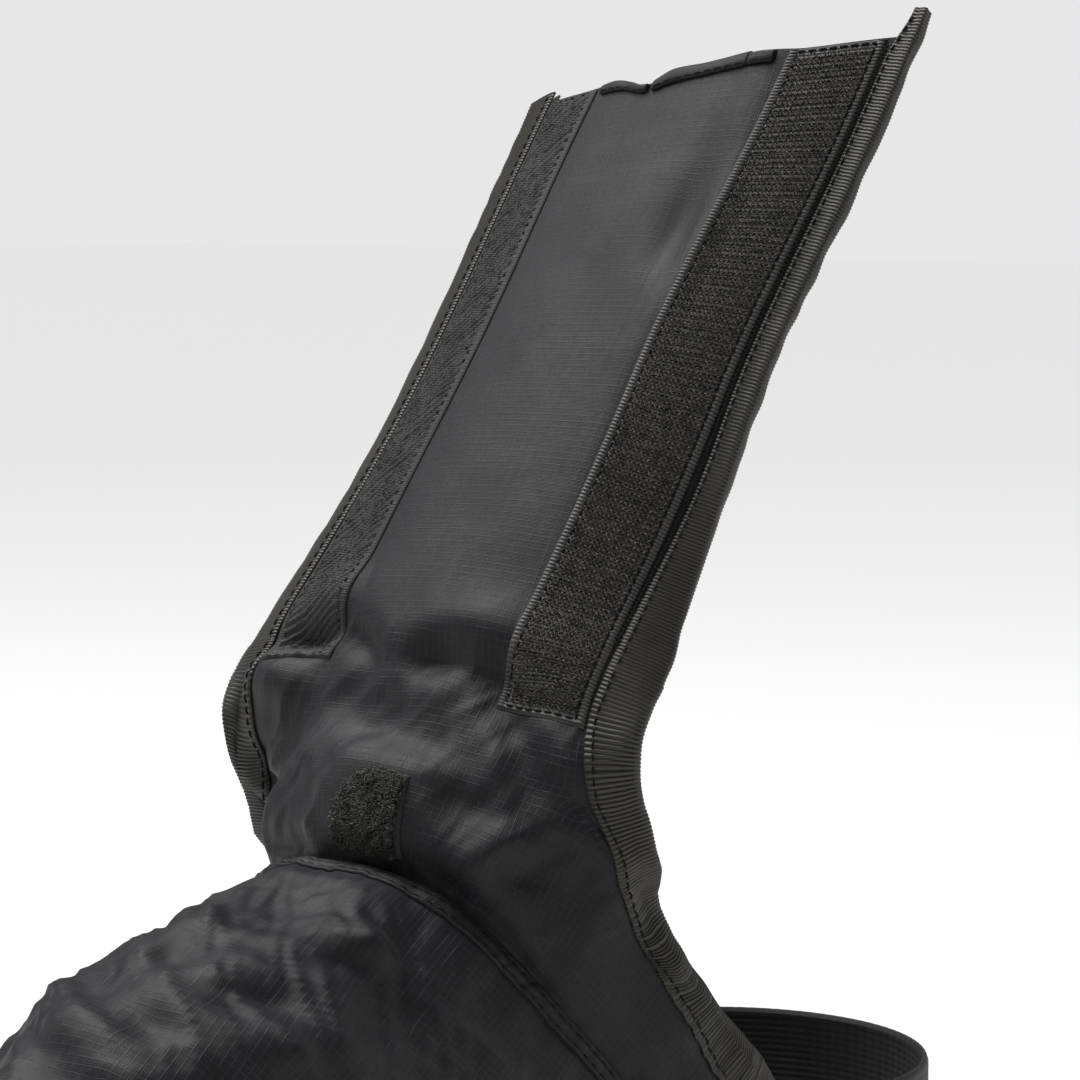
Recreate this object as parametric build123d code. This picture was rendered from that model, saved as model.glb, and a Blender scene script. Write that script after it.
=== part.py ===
from build123d import *
import math
import os

# Spat-style boot gaiter, millimetres. +Z up, toe toward -Y, hook tape on the +X side.
# Every piece is a thin closed solid laid on the same smooth cover surface.

# ---- driving dimensions -------------------------------------------------
CLOTH = 1.0            # coated cloth with its seam allowance
TAPE_WIDTH = 20.0      # hook and loop tape
TAPE_THICK = 1.3
BINDING_WIDTH = 11.0   # 22 mm grosgrain folded in half
BINDING_THICK = 0.8
LAY_GAP = 0.15         # air between stacked layers
SEAM_WIDTH = 5.6
SEAM_HEIGHT = 1.1
SEAM_END = 0.84        # where the seam ridge stops, share of the half section
WING_SPLIT = 0.40      # share of the half width where the edge cloths start
HALF_GAP = 0.42        # half of the fold gap between hinged cloths
TAPE_OUT = 0.785       # outer edge of the tapes, share of the half width
HOOK_DRIFT = 0.085     # how far the hook tape closes on its binding at the top
HOOK_SLIM = 4.6        # how much narrower the binding beside it gets
HOOK_LOW, HOOK_HIGH = 0.02, 0.985
LOOP_LOW, LOOP_HIGH = 0.06, 0.965
FOLD_GAP = 0.0065      # share of the panel length left open at the ankle fold
PATCH_SHARE = 0.108    # loop patch half width, share of the ankle's half section
STRAP_Y = 22.0         # underfoot strap centre line
WEB_WIDTH = 20.0
WEB_THICK = 1.4
WALL_X = 53.4          # inner face of the strap's side runs
LOCK_X = 55.2
LOCK_THICK = 3.0
LOCK_BAR_Z = 50.0
LOCK_WIDTH = 27.0
HEEL_X = 46.2          # centre of the heel strap's side runs
HEEL_THICK = 1.6
HEEL_LOW, HEEL_HIGH = 40.0, 76.0
HEEL_BACK = 135.0
HEEL_FRONT = 39.5      # where its ends start inside the quarters, at mid height
HEEL_LEAN = (20.0, 42.0)
SHIFT_Y = -22.0        # puts the origin under the middle of the underfoot strap

# ---- outlines: centre line (y, z) and edge line (half width, y, z) ------
PANEL_BASE = (-28.0, 171.0)
PANEL_BASE_EDGE = (52.0, -9.0, 160.5)
PANEL_TOP = (69.0, 299.0)
PANEL_TOP_EDGE = (53.0, 80.5, 299.0)
PANEL_SWAY = (-3.5, 8.5)
ANKLE_CENTRE = [(-40, 133), (-41, 146), (-36.5, 158.5), (-28, 171)]
ANKLE_EDGE = [(49.5, 78, 3.2), (51, 59, 42), (51.5, 39, 84), (50.5, 20, 104),
              (49.5, 7, 121), (50, -2, 142), (52, -9, 160.5)]
VAMP_CENTRE = [(-40, 133), (-62, 130.5), (-90, 124), (-118, 112),
               (-143, 93), (-163, 63), (-171.5, 30), (-172, 3.2)]
VAMP_EDGE = [(49.5, 78, 3.2), (50, 50, 3.2), (50.5, 18, 3.2), (52, -14, 3.2),
             (53.5, -42, 3.2), (54, -66, 3.2), (54, -82, 3.2), (54, -92, 3.2)]
POWER = 2.9


def mix(a, b, t):
    return a + (b - a) * t


def curve(points, t):
    """Smooth curve through the listed points, t from 0 to 1."""
    spans = len(points) - 1
    place = min(max(t, 0.0), 1.0) * spans
    i = min(int(place), spans - 1)
    f = place - i
    p1 = points[i]
    p2 = points[i + 1]
    p0 = points[i - 1] if i > 0 else tuple(2 * b - c for b, c in zip(p1, p2))
    p3 = points[i + 2] if i + 2 <= spans else tuple(2 * c - b for b, c in zip(p1, p2))
    out = []
    for a, b, c, d in zip(p0, p1, p2, p3):
        out.append(0.5 * (2 * b + (c - a) * f + (2 * a - 5 * b + 4 * c - d) * f * f
                          + (3 * b - a - 3 * c + d) * f ** 3))
    return tuple(out)


def arc_profile(a, half, depth):
    """Circular arch: share of the half width and share of the depth."""
    turn = 2 * math.atan2(depth, half)
    return math.sin(a * turn) / math.sin(turn), (1 - math.cos(a * turn)) / (1 - math.cos(turn))


def box_profile(a, power):
    """Arch with flat sides and a rounded crown."""
    turn = a * math.pi / 2
    s = abs(math.sin(turn))
    c = abs(math.cos(turn))
    r = (s ** power + c ** power) ** (-1 / power)
    return r * math.sin(turn), 1 - r * math.cos(turn)


def seat(centre, edge, sway, across, down):
    y = centre[0] + down * (edge[1] - centre[0]) + across * sway[0]
    z = centre[1] + down * (edge[2] - centre[1]) + across * sway[1]
    return Vector(across * edge[0], y + SHIFT_Y, z)


def panel(s, a):
    """Shin panel: straight lines from the ankle fold to the top edge."""
    centre = tuple(mix(p, q, s) for p, q in zip(PANEL_BASE, PANEL_TOP))
    edge = tuple(mix(p, q, s) for p, q in zip(PANEL_BASE_EDGE, PANEL_TOP_EDGE))
    depth = math.hypot(edge[1] - centre[0], edge[2] - centre[1])
    across, down = arc_profile(a, edge[0], depth)
    return seat(centre, edge, (PANEL_SWAY[0] * s, PANEL_SWAY[1] * s), across, down)


def ankle(s, a):
    """Ankle and quarters: from the instep seam up to the fold."""
    centre = curve(ANKLE_CENTRE, s)
    edge = curve(ANKLE_EDGE, s)
    depth = math.hypot(edge[1] - centre[0], edge[2] - centre[1])
    box = box_profile(a, POWER)
    arc = arc_profile(a, edge[0], depth) if depth < edge[0] else box_profile(a, 2.0)
    k = s * s * (3 - 2 * s)
    return seat(centre, edge, (0, 0), mix(box[0], arc[0], k), mix(box[1], arc[1], k))


def vamp(s, a):
    """Foot cover: from the instep seam forward to the toe hem."""
    across, down = box_profile(a, mix(POWER, 2.3, s))
    return seat(curve(VAMP_CENTRE, s), curve(VAMP_EDGE, s), (0, 0), across, down)


def surface_normal(surface, s, a):
    step = 0.004
    s0, s1 = max(s - step, 0.0), min(s + step, 1.0)
    a0, a1 = max(a - step, -1.0), min(a + step, 1.0)
    along = surface(s1, a) - surface(s0, a)
    across = surface(s, a1) - surface(s, a0)
    return across.cross(along).normalized()


def lifted(surface, s, a, lift):
    """Point on the section plane of s, moved off the surface by lift."""
    a0, a1 = max(a - 0.004, -1.0), min(a + 0.004, 1.0)
    across = (surface(s, a1) - surface(s, a0)).normalized()
    chord = surface(s, 1) - surface(s, -1)
    drop = surface(s, 1) + surface(s, -1) - surface(s, 0) * 2
    plane_normal = chord.cross(drop).normalized()
    inplane = plane_normal.cross(across).normalized()
    normal = surface_normal(surface, s, a)
    share = inplane.dot(normal)
    if share < 0:
        inplane = inplane * -1
        share = -share
    return surface(s, a) + inplane * (lift / max(share, 0.3))


def spread(low, high, count):
    return [mix(low, high, i / (count - 1)) for i in range(count)]


def band(surface, stations, left, right, low, high, count=13):
    """Sheet between two lifts; left and right give the side limits at s."""
    wires = []
    for s in stations:
        row = spread(left(s), right(s), count)
        outer = [lifted(surface, s, a, high) for a in row]
        inner = [lifted(surface, s, a, low) for a in reversed(row)]
        wires.append(Wire([Spline(outer), Line(outer[-1], inner[0]),
                           Spline(inner), Line(inner[-1], outer[0])]))
    return Solid.make_loft(wires, False)


def fixed(value):
    return lambda s: value


def rail(points, normals, outward, profile):
    """Closed profile carried along a path. Profile pairs are (outward, lift)."""
    wires = []
    last = len(points) - 1
    for i, point in enumerate(points):
        along = (points[min(i + 1, last)] - points[max(i - 1, 0)]).normalized()
        side = along.cross(normals[i]).normalized()
        if side.dot(outward[i]) < 0:
            side = side * -1
        lift = side.cross(along).normalized()
        if lift.dot(normals[i]) < 0:
            lift = lift * -1
        corners = [point + side * u + lift * v for u, v in profile]
        wires.append(Wire.make_polygon(corners, close=True))
    return Solid.make_loft(wires, False)


def fold_profile(width, gap=LAY_GAP):
    """U of folded tape round a raw cloth edge."""
    near = CLOTH / 2 + gap
    far = near + BINDING_THICK
    tip = BINDING_THICK + LAY_GAP
    return [(-width, far), (tip, far), (tip, -far), (-width, -far),
            (-width, -near), (LAY_GAP, -near), (LAY_GAP, near), (-width, near)]


def on_surface(surface, start, origin, along, up, height):
    """Surface point straight above an edge point, in the plane square to the edge."""
    s, a = start
    for _ in range(10):
        point = surface(s, a)
        miss_t = (point - origin).dot(along)
        miss_u = (point - origin).dot(up) - height
        ds = -0.002 if s > 0.5 else 0.002
        da = -0.002 if a > 0 else 0.002
        step_s = (surface(s + ds, a) - point) * (1 / ds)
        step_a = (surface(s, a + da) - point) * (1 / da)
        det = step_s.dot(along) * step_a.dot(up) - step_s.dot(up) * step_a.dot(along)
        s -= (miss_t * step_a.dot(up) - miss_u * step_a.dot(along)) / det
        a -= (miss_u * step_s.dot(along) - miss_t * step_s.dot(up)) / det
        s = min(max(s, 0.0), 1.0)
        a = min(max(a, -1.0), 1.0)
    return s, a


def wall_binding(surface, stops, ups, widths, gap):
    """Folded tape along a free edge, both leaves following the curved wall."""
    near = CLOTH / 2 + gap
    far = near + BINDING_THICK
    origins = [surface(s, a) for s, a in stops]
    wires = []
    last = len(stops) - 1
    for i, origin in enumerate(origins):
        along = (origins[min(i + 1, last)] - origins[max(i - 1, 0)]).normalized()
        up = (ups[i] - along * ups[i].dot(along)).normalized()
        spots = [(origin, stops[i])]
        place = stops[i]
        for share in (0.35, 0.7, 1.0):
            place = on_surface(surface, place, origin, along, up, widths[i] * share)
            spots.append((surface(*place), place))
        lifts = []
        for point, (s, a) in spots[1:]:
            normal = surface_normal(surface, s, a)
            flat = normal - along * normal.dot(along)
            lifts.append(flat * (1 / flat.dot(flat)))
        lifts.insert(0, lifts[0])
        pairs = [(p, n) for (p, _), n in zip(spots, lifts)]
        edge, face = pairs[0]
        over = up * -(BINDING_THICK + LAY_GAP)
        loop = [p + n * far for p, n in reversed(pairs)] + [edge + face * far + over]
        loop += [edge - face * far + over] + [p - n * far for p, n in pairs]
        loop += [p - n * near for p, n in reversed(pairs)]
        loop += [edge - face * near - up * LAY_GAP, edge + face * near - up * LAY_GAP]
        loop += [p + n * near for p, n in pairs]
        wires.append(Wire.make_polygon(loop, close=True))
    return Solid.make_loft(wires, False)


def rear_binding(low, high, side, count=16):
    """Binding down the rear edge of one quarter, narrowing into the lower corner."""
    corner = ankle(0, side)
    seam_line = corner - ankle(0, 0)
    seam_line = Vector(0, seam_line.Y, seam_line.Z).normalized()
    stops, ups, widths = [], [], []
    for s in spread(low, high, count):
        ahead = ankle(min(s + 0.01, 1), side) - ankle(s - 0.01, side)
        arm = ankle(s, side) - corner
        stops.append((s, side))
        ups.append(Vector(0, -ahead.Z, ahead.Y).normalized())
        widths.append(min(BINDING_WIDTH, abs(arm.Y * seam_line.Z - arm.Z * seam_line.Y) - 1.6))
    return wall_binding(ankle, stops, ups, widths, 0.35)


def panel_binding(low, high, side, slim=0.0):
    """Binding up one side of the shin panel; slim takes that much off its width by mid height."""
    near = CLOTH / 2 + LAY_GAP
    far = near + BINDING_THICK
    wires = []
    for s in spread(low, high, 7):
        width = BINDING_WIDTH - slim * min(s / 0.45, 1.0)
        row = spread(side * (1 - width / half_length(s)), side, 5)
        tip = (panel(s, side) - panel(s, side * 0.99)).normalized()
        top = [lifted(panel, s, a, far) for a in row]
        top_under = [lifted(panel, s, a, near) for a in row]
        base = [lifted(panel, s, a, -far) for a in row]
        base_over = [lifted(panel, s, a, -near) for a in row]
        loop = top + [top[-1] + tip * (BINDING_THICK + LAY_GAP)]
        loop += [base[-1] + tip * (BINDING_THICK + LAY_GAP)] + base[::-1]
        loop += base_over + [base_over[-1] + tip * LAY_GAP]
        loop += [top_under[-1] + tip * LAY_GAP] + top_under[::-1]
        wires.append(Wire.make_polygon(loop, close=True))
    return Solid.make_loft(wires, False)


def half_length(s):
    """Flat half width of the shin panel at station s."""
    total = 0.0
    for i in range(20):
        total += (panel(s, (i + 1) / 20) - panel(s, i / 20)).length
    return total


def shin_cloth():
    split = lambda s: WING_SPLIT - HALF_GAP / half_length(s)
    return band(panel, [FOLD_GAP, 0.5, 0.995], lambda s: -split(s), split, -CLOTH / 2, CLOTH / 2, 9)


def edge_cloth(side):
    inner = lambda s: side * (WING_SPLIT + HALF_GAP / half_length(s))
    return band(panel, [FOLD_GAP, 0.5, 1.0], inner, fixed(side), -CLOTH / 2, CLOTH / 2, 9)


def tape(side, low, high, drift=0.0):
    """Hook or loop tape; drift moves its upper end towards the edge."""
    near = CLOTH / 2 + LAY_GAP
    outer = lambda s: side * (TAPE_OUT + drift * s ** 1.5)
    inner = lambda s: outer(s) - side * TAPE_WIDTH / half_length(s)
    return band(panel, spread(low, high, 5), inner, outer, near, near + TAPE_THICK, 7)


def top_hem():
    """Rolled hem along the top of the centre cloth."""
    points, normals, outward = [], [], []
    for a in spread(-WING_SPLIT + 0.03, WING_SPLIT - 0.03, 9):
        points.append(panel(1.0, a))
        normals.append(surface_normal(panel, 1, a))
        outward.append(panel(1, a) - panel(0.97, a))
    return rail(points, normals, outward, fold_profile(8.0, 0.6))


def instep_seam():
    """Raised felled seam lying on the vamp along the ankle cloth."""
    near = CLOTH / 2 + LAY_GAP
    return band(vamp, spread(0.006, 0.006 + SEAM_WIDTH / 150.0, 3), fixed(-SEAM_END), fixed(SEAM_END),
                near, near + SEAM_HEIGHT, 25)


def loop_patch():
    """Small loop patch on the centre line above the seam."""
    near = CLOTH / 2 + LAY_GAP
    left, right = fixed(-PATCH_SHARE), fixed(PATCH_SHARE)
    return band(ankle, spread(0.15, 0.56, 6), left, right, near, near + TAPE_THICK, 5)


def hem_binding():
    """Folded binding from one rear corner round the toe to the other."""
    stops = [(s, 1.0) for s in spread(0.025, 0.9, 16)]
    stops += [(1.0, a) for a in spread(0.97, -0.97, 25)]
    stops += [(s, -1.0) for s in spread(0.9, 0.025, 16)]
    ups = [Vector(0, 0, 1)] * len(stops)
    rear = vamp(0, 1).Y
    widths = [min(BINDING_WIDTH, 1.05 * (rear - vamp(s, a).Y) - 1.2) for s, a in stops]
    return wall_binding(vamp, stops, ups, widths, 0.25)


def heel_strap():
    """Elastic strap round the heel, its ends lapped inside the quarters."""
    outer = HEEL_X + HEEL_THICK / 2
    inner = HEEL_X - HEEL_THICK / 2
    middle = HEEL_BACK - outer + SHIFT_Y
    height = (HEEL_LOW + HEEL_HIGH) / 2
    front = SHIFT_Y + HEEL_FRONT - 20.0
    ring = Pos(0, middle) * (Circle(outer) - Circle(inner))
    ring &= Pos(0, middle + outer) * Rectangle(4 * outer, 2 * outer)
    for side in (-1, 1):
        ring += Pos(side * HEEL_X, (front + middle) / 2) * Rectangle(HEEL_THICK, middle - front)
    strap = extrude(Pos(0, 0, HEEL_LOW) * ring, HEEL_HIGH - HEEL_LOW)
    lean = math.degrees(math.atan2(*HEEL_LEAN))
    trim = Pos(0, SHIFT_Y + HEEL_FRONT, height) * Rot(lean, 0, 0) * Pos(0, -60, 0) * Box(200, 120, 200)
    return (strap - trim).solid()


def underfoot_strap():
    """Webbing from the left wall under the arch to the ladder lock."""
    bend = 3.0
    x = WALL_X + WEB_THICK
    outer = Pos(0, 26) * RectangleRounded(2 * x, 52, bend)
    inner = Pos(0, 26 + WEB_THICK / 2) * RectangleRounded(2 * WALL_X, 52 - WEB_THICK, bend - WEB_THICK)
    loop = outer - inner
    loop -= Pos(0, 60) * Rectangle(200, 40)
    run = extrude(Plane.XZ * loop, WEB_WIDTH / 2, both=True)
    return (Pos(0, STRAP_Y + SHIFT_Y, 0) * run).solid()


def lock_place(shape):
    """Moves a strap piece to the strap's centre line."""
    return Pos(0, STRAP_Y + SHIFT_Y, 0) * shape


def anchor_tab():
    """Short webbing loop hanging from the seam round the lock's top bar."""
    bar_x = LOCK_X + LOCK_THICK / 2
    top = Pos(WALL_X + 0.6, 60.5) * Circle(0.9)
    outer = make_hull((Pos(bar_x, LOCK_BAR_Z) * Circle(2.9)).edges() + top.edges())
    inner = make_hull((Pos(bar_x, LOCK_BAR_Z) * Circle(1.75)).edges()
                      + (Pos(WALL_X + 1.5, 55.5) * Circle(0.3)).edges())
    return lock_place(extrude(Plane.XZ * (outer - inner), WEB_WIDTH / 2, both=True)).solid()


def ladder_lock():
    """Moulded ladder lock: two rails, a round top bar and two strap bars."""
    x = LOCK_X + LOCK_THICK / 2
    half = LOCK_WIDTH / 2
    low, high = LOCK_BAR_Z - 19.0, LOCK_BAR_Z + 2.0
    body = Part()
    for side in (-1, 1):
        rail_box = Box(LOCK_THICK, 2.8, high - low)
        rail_box = fillet(rail_box.edges().filter_by(Axis.Z), 0.6)
        body += Pos(x, side * (half - 1.4), (low + high) / 2) * rail_box
    body += Pos(x, 0, LOCK_BAR_Z) * Rot(90, 0, 0) * Cylinder(1.3, LOCK_WIDTH - 3)
    for z in (LOCK_BAR_Z - 8.5, LOCK_BAR_Z - 17.4):
        bar = Box(LOCK_THICK - 0.4, LOCK_WIDTH - 3, 2.8)
        body += Pos(x, 0, z) * fillet(bar.edges().filter_by(Axis.Y), 0.8)
    return lock_place(body).solid()


def strap_tail():
    """Free end of the webbing hanging outside the lock, folded tip."""
    x = LOCK_X + LOCK_THICK + 0.4
    tail = Pos(x + WEB_THICK / 2, 0, 27.5) * Box(WEB_THICK, WEB_WIDTH, 27)
    tip = Pos(x + WEB_THICK + 0.65, 0, 18.5) * Box(1.3, WEB_WIDTH, 8)
    return lock_place(tail + tip).solid()


def bar_tacks():
    """Two short dense stitch bars across the sewn end of the underfoot strap."""
    tacks = []
    for z in (35.0, 38.5):
        tacks.append(Pos(-(WALL_X + WEB_THICK + 0.35), STRAP_Y + SHIFT_Y, z) * Box(0.7, 16, 1.4))
    return Compound(children=[t.solid() for t in tacks])


def all_pieces():
    """Every node's name and solid."""
    full = fixed(1.0)
    minus = fixed(-1.0)
    half = CLOTH / 2
    return {
        "vamp_panel": band(vamp, [0.012] + spread(0.08, 1.0, 14), minus, full, -half, half, 25),
        "ankle_panel": band(ankle, spread(0.03, 0.99, 14), minus, full, -half, half, 25),
        "instep_seam": instep_seam(),
        "loop_patch": loop_patch(),
        "hook_side_rear_binding": rear_binding(0.06, 0.982, 1),
        "loop_side_rear_binding": rear_binding(0.06, 0.982, -1),
        "hem_binding": hem_binding(),
        "shin_panel": shin_cloth(),
        "top_hem": top_hem(),
        "hook_edge_cloth": edge_cloth(1),
        "hook_tape": tape(1, HOOK_LOW, HOOK_HIGH, HOOK_DRIFT),
        "hook_edge_binding": panel_binding(0.014, 1.035, 1, HOOK_SLIM),
        "loop_edge_cloth": edge_cloth(-1),
        "loop_tape": tape(-1, LOOP_LOW, LOOP_HIGH),
        "loop_edge_binding": panel_binding(0.014, 1.006, -1),
        "heel_strap": heel_strap(),
        "underfoot_strap": underfoot_strap(),
        "buckle_anchor_tab": anchor_tab(),
        "ladder_lock": ladder_lock(),
        "strap_tail": strap_tail(),
        "strap_bar_tacks": bar_tacks(),
    }


def main():
    os.makedirs("parts", exist_ok=True)
    for name, shape in all_pieces().items():
        export_step(shape, "parts/" + name + ".step")


main()
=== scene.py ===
import bpy
import math
import numpy as np
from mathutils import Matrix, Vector


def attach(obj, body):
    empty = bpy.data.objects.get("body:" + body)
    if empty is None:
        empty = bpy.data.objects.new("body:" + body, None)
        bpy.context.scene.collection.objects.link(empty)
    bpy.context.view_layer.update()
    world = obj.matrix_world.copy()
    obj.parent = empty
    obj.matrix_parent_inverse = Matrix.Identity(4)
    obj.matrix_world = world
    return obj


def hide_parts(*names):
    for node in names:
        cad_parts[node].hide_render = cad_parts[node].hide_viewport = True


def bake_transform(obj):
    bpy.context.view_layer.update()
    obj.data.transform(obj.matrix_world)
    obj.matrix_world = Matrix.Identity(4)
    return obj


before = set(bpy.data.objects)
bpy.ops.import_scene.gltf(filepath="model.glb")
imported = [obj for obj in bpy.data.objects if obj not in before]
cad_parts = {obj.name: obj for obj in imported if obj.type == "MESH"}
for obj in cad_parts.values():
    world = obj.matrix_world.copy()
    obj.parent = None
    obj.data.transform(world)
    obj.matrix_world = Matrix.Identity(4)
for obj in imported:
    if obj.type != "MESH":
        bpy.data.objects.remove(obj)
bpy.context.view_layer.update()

MM = 0.001
SEED = 11

# ---------- cover surface
# Same outlines as the CAD, millimetres, before the shift that centres the footprint. Points of a
# centre line are (y, z), points of an edge are (x, y, z).
SHIFT_Y = -22.0
PANEL_BASE = (-28.0, 171.0)
PANEL_BASE_EDGE = (52.0, -9.0, 160.5)
PANEL_TOP = (69.0, 299.0)
PANEL_TOP_EDGE = (53.0, 80.5, 299.0)
PANEL_SWAY = (-3.5, 8.5)
ANKLE_CENTRE = [(-40, 133), (-41, 146), (-36.5, 158.5), (-28, 171)]
ANKLE_EDGE = [(49.5, 78, 3.2), (51, 59, 42), (51.5, 39, 84), (50.5, 20, 104),
              (49.5, 7, 121), (50, -2, 142), (52, -9, 160.5)]
VAMP_CENTRE = [(-40, 133), (-62, 130.5), (-90, 124), (-118, 112),
               (-143, 93), (-163, 63), (-171.5, 30), (-172, 3.2)]
VAMP_EDGE = [(49.5, 78, 3.2), (50, 50, 3.2), (50.5, 18, 3.2), (52, -14, 3.2),
             (53.5, -42, 3.2), (54, -66, 3.2), (54, -82, 3.2), (54, -92, 3.2)]
POWER, TOE_POWER = 2.9, 2.3    # squareness of the cross section, at the ankle and the toe


def mix(a, b, t):
    return a + (b - a) * t


def smooth(x, low, high):
    """0 below low, 1 above high, and an S curve between."""
    t = np.clip((x - low) / (high - low), 0.0, 1.0)
    return t * t * (3 - 2 * t)


def spline(p0, p1, p2, p3, f):
    """Smooth step of a share f from p1 to p2, with their neighbours p0 and p3."""
    return 0.5 * (2 * p1 + (p2 - p0) * f + (2 * p0 - 5 * p1 + 4 * p2 - p3) * f * f
                  + (3 * p1 - p0 - 3 * p2 + p3) * f ** 3)


def curve(points, t):
    """Smooth curve through points of equal spacing in t, which runs from 0 to 1."""
    spans = len(points) - 1
    place = min(max(t, 0.0), 1.0) * spans
    i = min(int(place), spans - 1)
    f = place - i
    p1, p2 = points[i], points[i + 1]
    p0 = points[i - 1] if i > 0 else tuple(2 * b - c for b, c in zip(p1, p2))
    p3 = points[i + 2] if i + 2 <= spans else tuple(2 * c - b for b, c in zip(p1, p2))
    return tuple(spline(a, b, c, d, f) for a, b, c, d in zip(p0, p1, p2, p3))


def arc_profile(a, half, depth):
    """Share of the half width across, and of the depth down, round a circular arc."""
    turn = 2 * math.atan2(depth, half)
    return math.sin(a * turn) / math.sin(turn), (1 - math.cos(a * turn)) / (1 - math.cos(turn))


def box_profile(a, power):
    """The same round a squared arch; power 2 is a half circle."""
    turn = a * math.pi / 2
    s, c = abs(math.sin(turn)), abs(math.cos(turn))
    r = (s ** power + c ** power) ** (-1 / power)
    return r * math.sin(turn), 1 - r * math.cos(turn)


def arch_depth(centre, edge):
    return math.hypot(edge[1] - centre[0], edge[2] - centre[1])


def seat(centre, edge, sway, across, down):
    """A point in metres, placed between a centre line point and an edge point."""
    y = centre[0] + down * (edge[1] - centre[0]) + across * sway[0]
    z = centre[1] + down * (edge[2] - centre[1]) + across * sway[1]
    return (across * edge[0] * MM, (y + SHIFT_Y) * MM, z * MM)


def panel(s, a):
    centre = tuple(mix(p, q, s) for p, q in zip(PANEL_BASE, PANEL_TOP))
    edge = tuple(mix(p, q, s) for p, q in zip(PANEL_BASE_EDGE, PANEL_TOP_EDGE))
    across, down = arc_profile(a, edge[0], arch_depth(centre, edge))
    return seat(centre, edge, (PANEL_SWAY[0] * s, PANEL_SWAY[1] * s), across, down)


def ankle(s, a):
    centre, edge = curve(ANKLE_CENTRE, s), curve(ANKLE_EDGE, s)
    depth = arch_depth(centre, edge)
    box = box_profile(a, POWER)
    arc = arc_profile(a, edge[0], depth) if depth < edge[0] else box_profile(a, 2.0)
    across, down = (mix(p, q, smooth(s, 0.0, 1.0)) for p, q in zip(box, arc))
    return seat(centre, edge, (0, 0), across, down)


def vamp(s, a):
    across, down = box_profile(a, mix(POWER, TOE_POWER, s))
    return seat(curve(VAMP_CENTRE, s), curve(VAMP_EDGE, s), (0, 0), across, down)


# ---------- the cloth as one grid
# Rows run from the toe hem over the vamp, across the instep seam, up the ankle and shin.
# Row place u: -1..0 vamp (toe to seam), 0..1 ankle (seam to fold), 1..2 shin panel.
# Column place a: -1 loop side edge, 0 centre line, 1 hook side edge.
VAMP_ROWS, ANKLE_ROWS, PANEL_ROWS = 64, 22, 64
COLS = 141
FINE = 2               # finished rows and columns for each simulated one
SPLIT = 0.40           # where the edge flaps start, share of the half width
FLAP_ROWS = 13         # finished rows above the fold where the flaps start
FLAP_U = 1 + FLAP_ROWS / (PANEL_ROWS * FINE)
CLOTH_HALF = 0.3 * MM  # half the cloth's thickness
U = np.concatenate([np.linspace(-1, 0, VAMP_ROWS + 1)[:-1], np.linspace(0, 1, ANKLE_ROWS + 1)[:-1],
                    np.linspace(1, 2, PANEL_ROWS + 1)])
A = np.linspace(-1, 1, COLS)


def bump(x, centre, width):
    return np.exp(-((x - centre) / width) ** 2)


def unit(v):
    return v / np.maximum(np.linalg.norm(v, axis=-1, keepdims=True), 1e-12)


def dot(a, b):
    return (a * b).sum(-1, keepdims=True)


def measured(line):
    """Distance along a line of points, from its start."""
    return np.pad(np.cumsum(np.linalg.norm(np.diff(line, axis=0), axis=1)), (1, 0))


def columns(*tables):
    """Tables of the same or a matching shape, put side by side in a last axis."""
    return np.stack(np.broadcast_arrays(*tables), -1)


def base_point(u, a):
    if u < 0:
        return vamp(-u, a)
    if u < 1:
        return ankle(u, a)
    return panel(u - 1, a)


WRAP_ANGLE = math.radians(19)      # how much further the hook side turns round the leg
WRAP_HINGE = 0.42                  # column place that it turns about
WRAP_STRETCH = 6.0 * MM            # extra height of its outer top corner
FOLD_BLUR = 14                     # smoothing passes over the fold between ankle and panel


def wrap_hook_side(grid):
    """The hook side of the shin panel, turned back about a line up the panel."""
    angle = (smooth(U, 1.0, 1.35)[:, None] * smooth(A, 0.36, 0.60) * WRAP_ANGLE)[..., None]
    rise = unit(np.array(panel(1, 0)) - np.array(panel(0, 0)))
    column = int(np.searchsorted(A, WRAP_HINGE))
    arm = grid - grid[:, column:column + 1]
    turned_arm = (arm * np.cos(angle) + np.cross(rise, arm) * np.sin(angle)
                  + rise * dot(arm, rise) * (1 - np.cos(angle)))
    stretch = smooth(U, 1.3, 2.0)[:, None] * smooth(A, 0.40, 1.0) * WRAP_STRETCH
    return grid - arm + turned_arm + rise * stretch[..., None]


def shifted(grid, rows, cols, offset):
    """The grid moved by an offset in mm, times each row's share and each column's share."""
    return grid + (rows[:, None] * cols)[..., None] * np.array(offset) * MM


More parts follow.
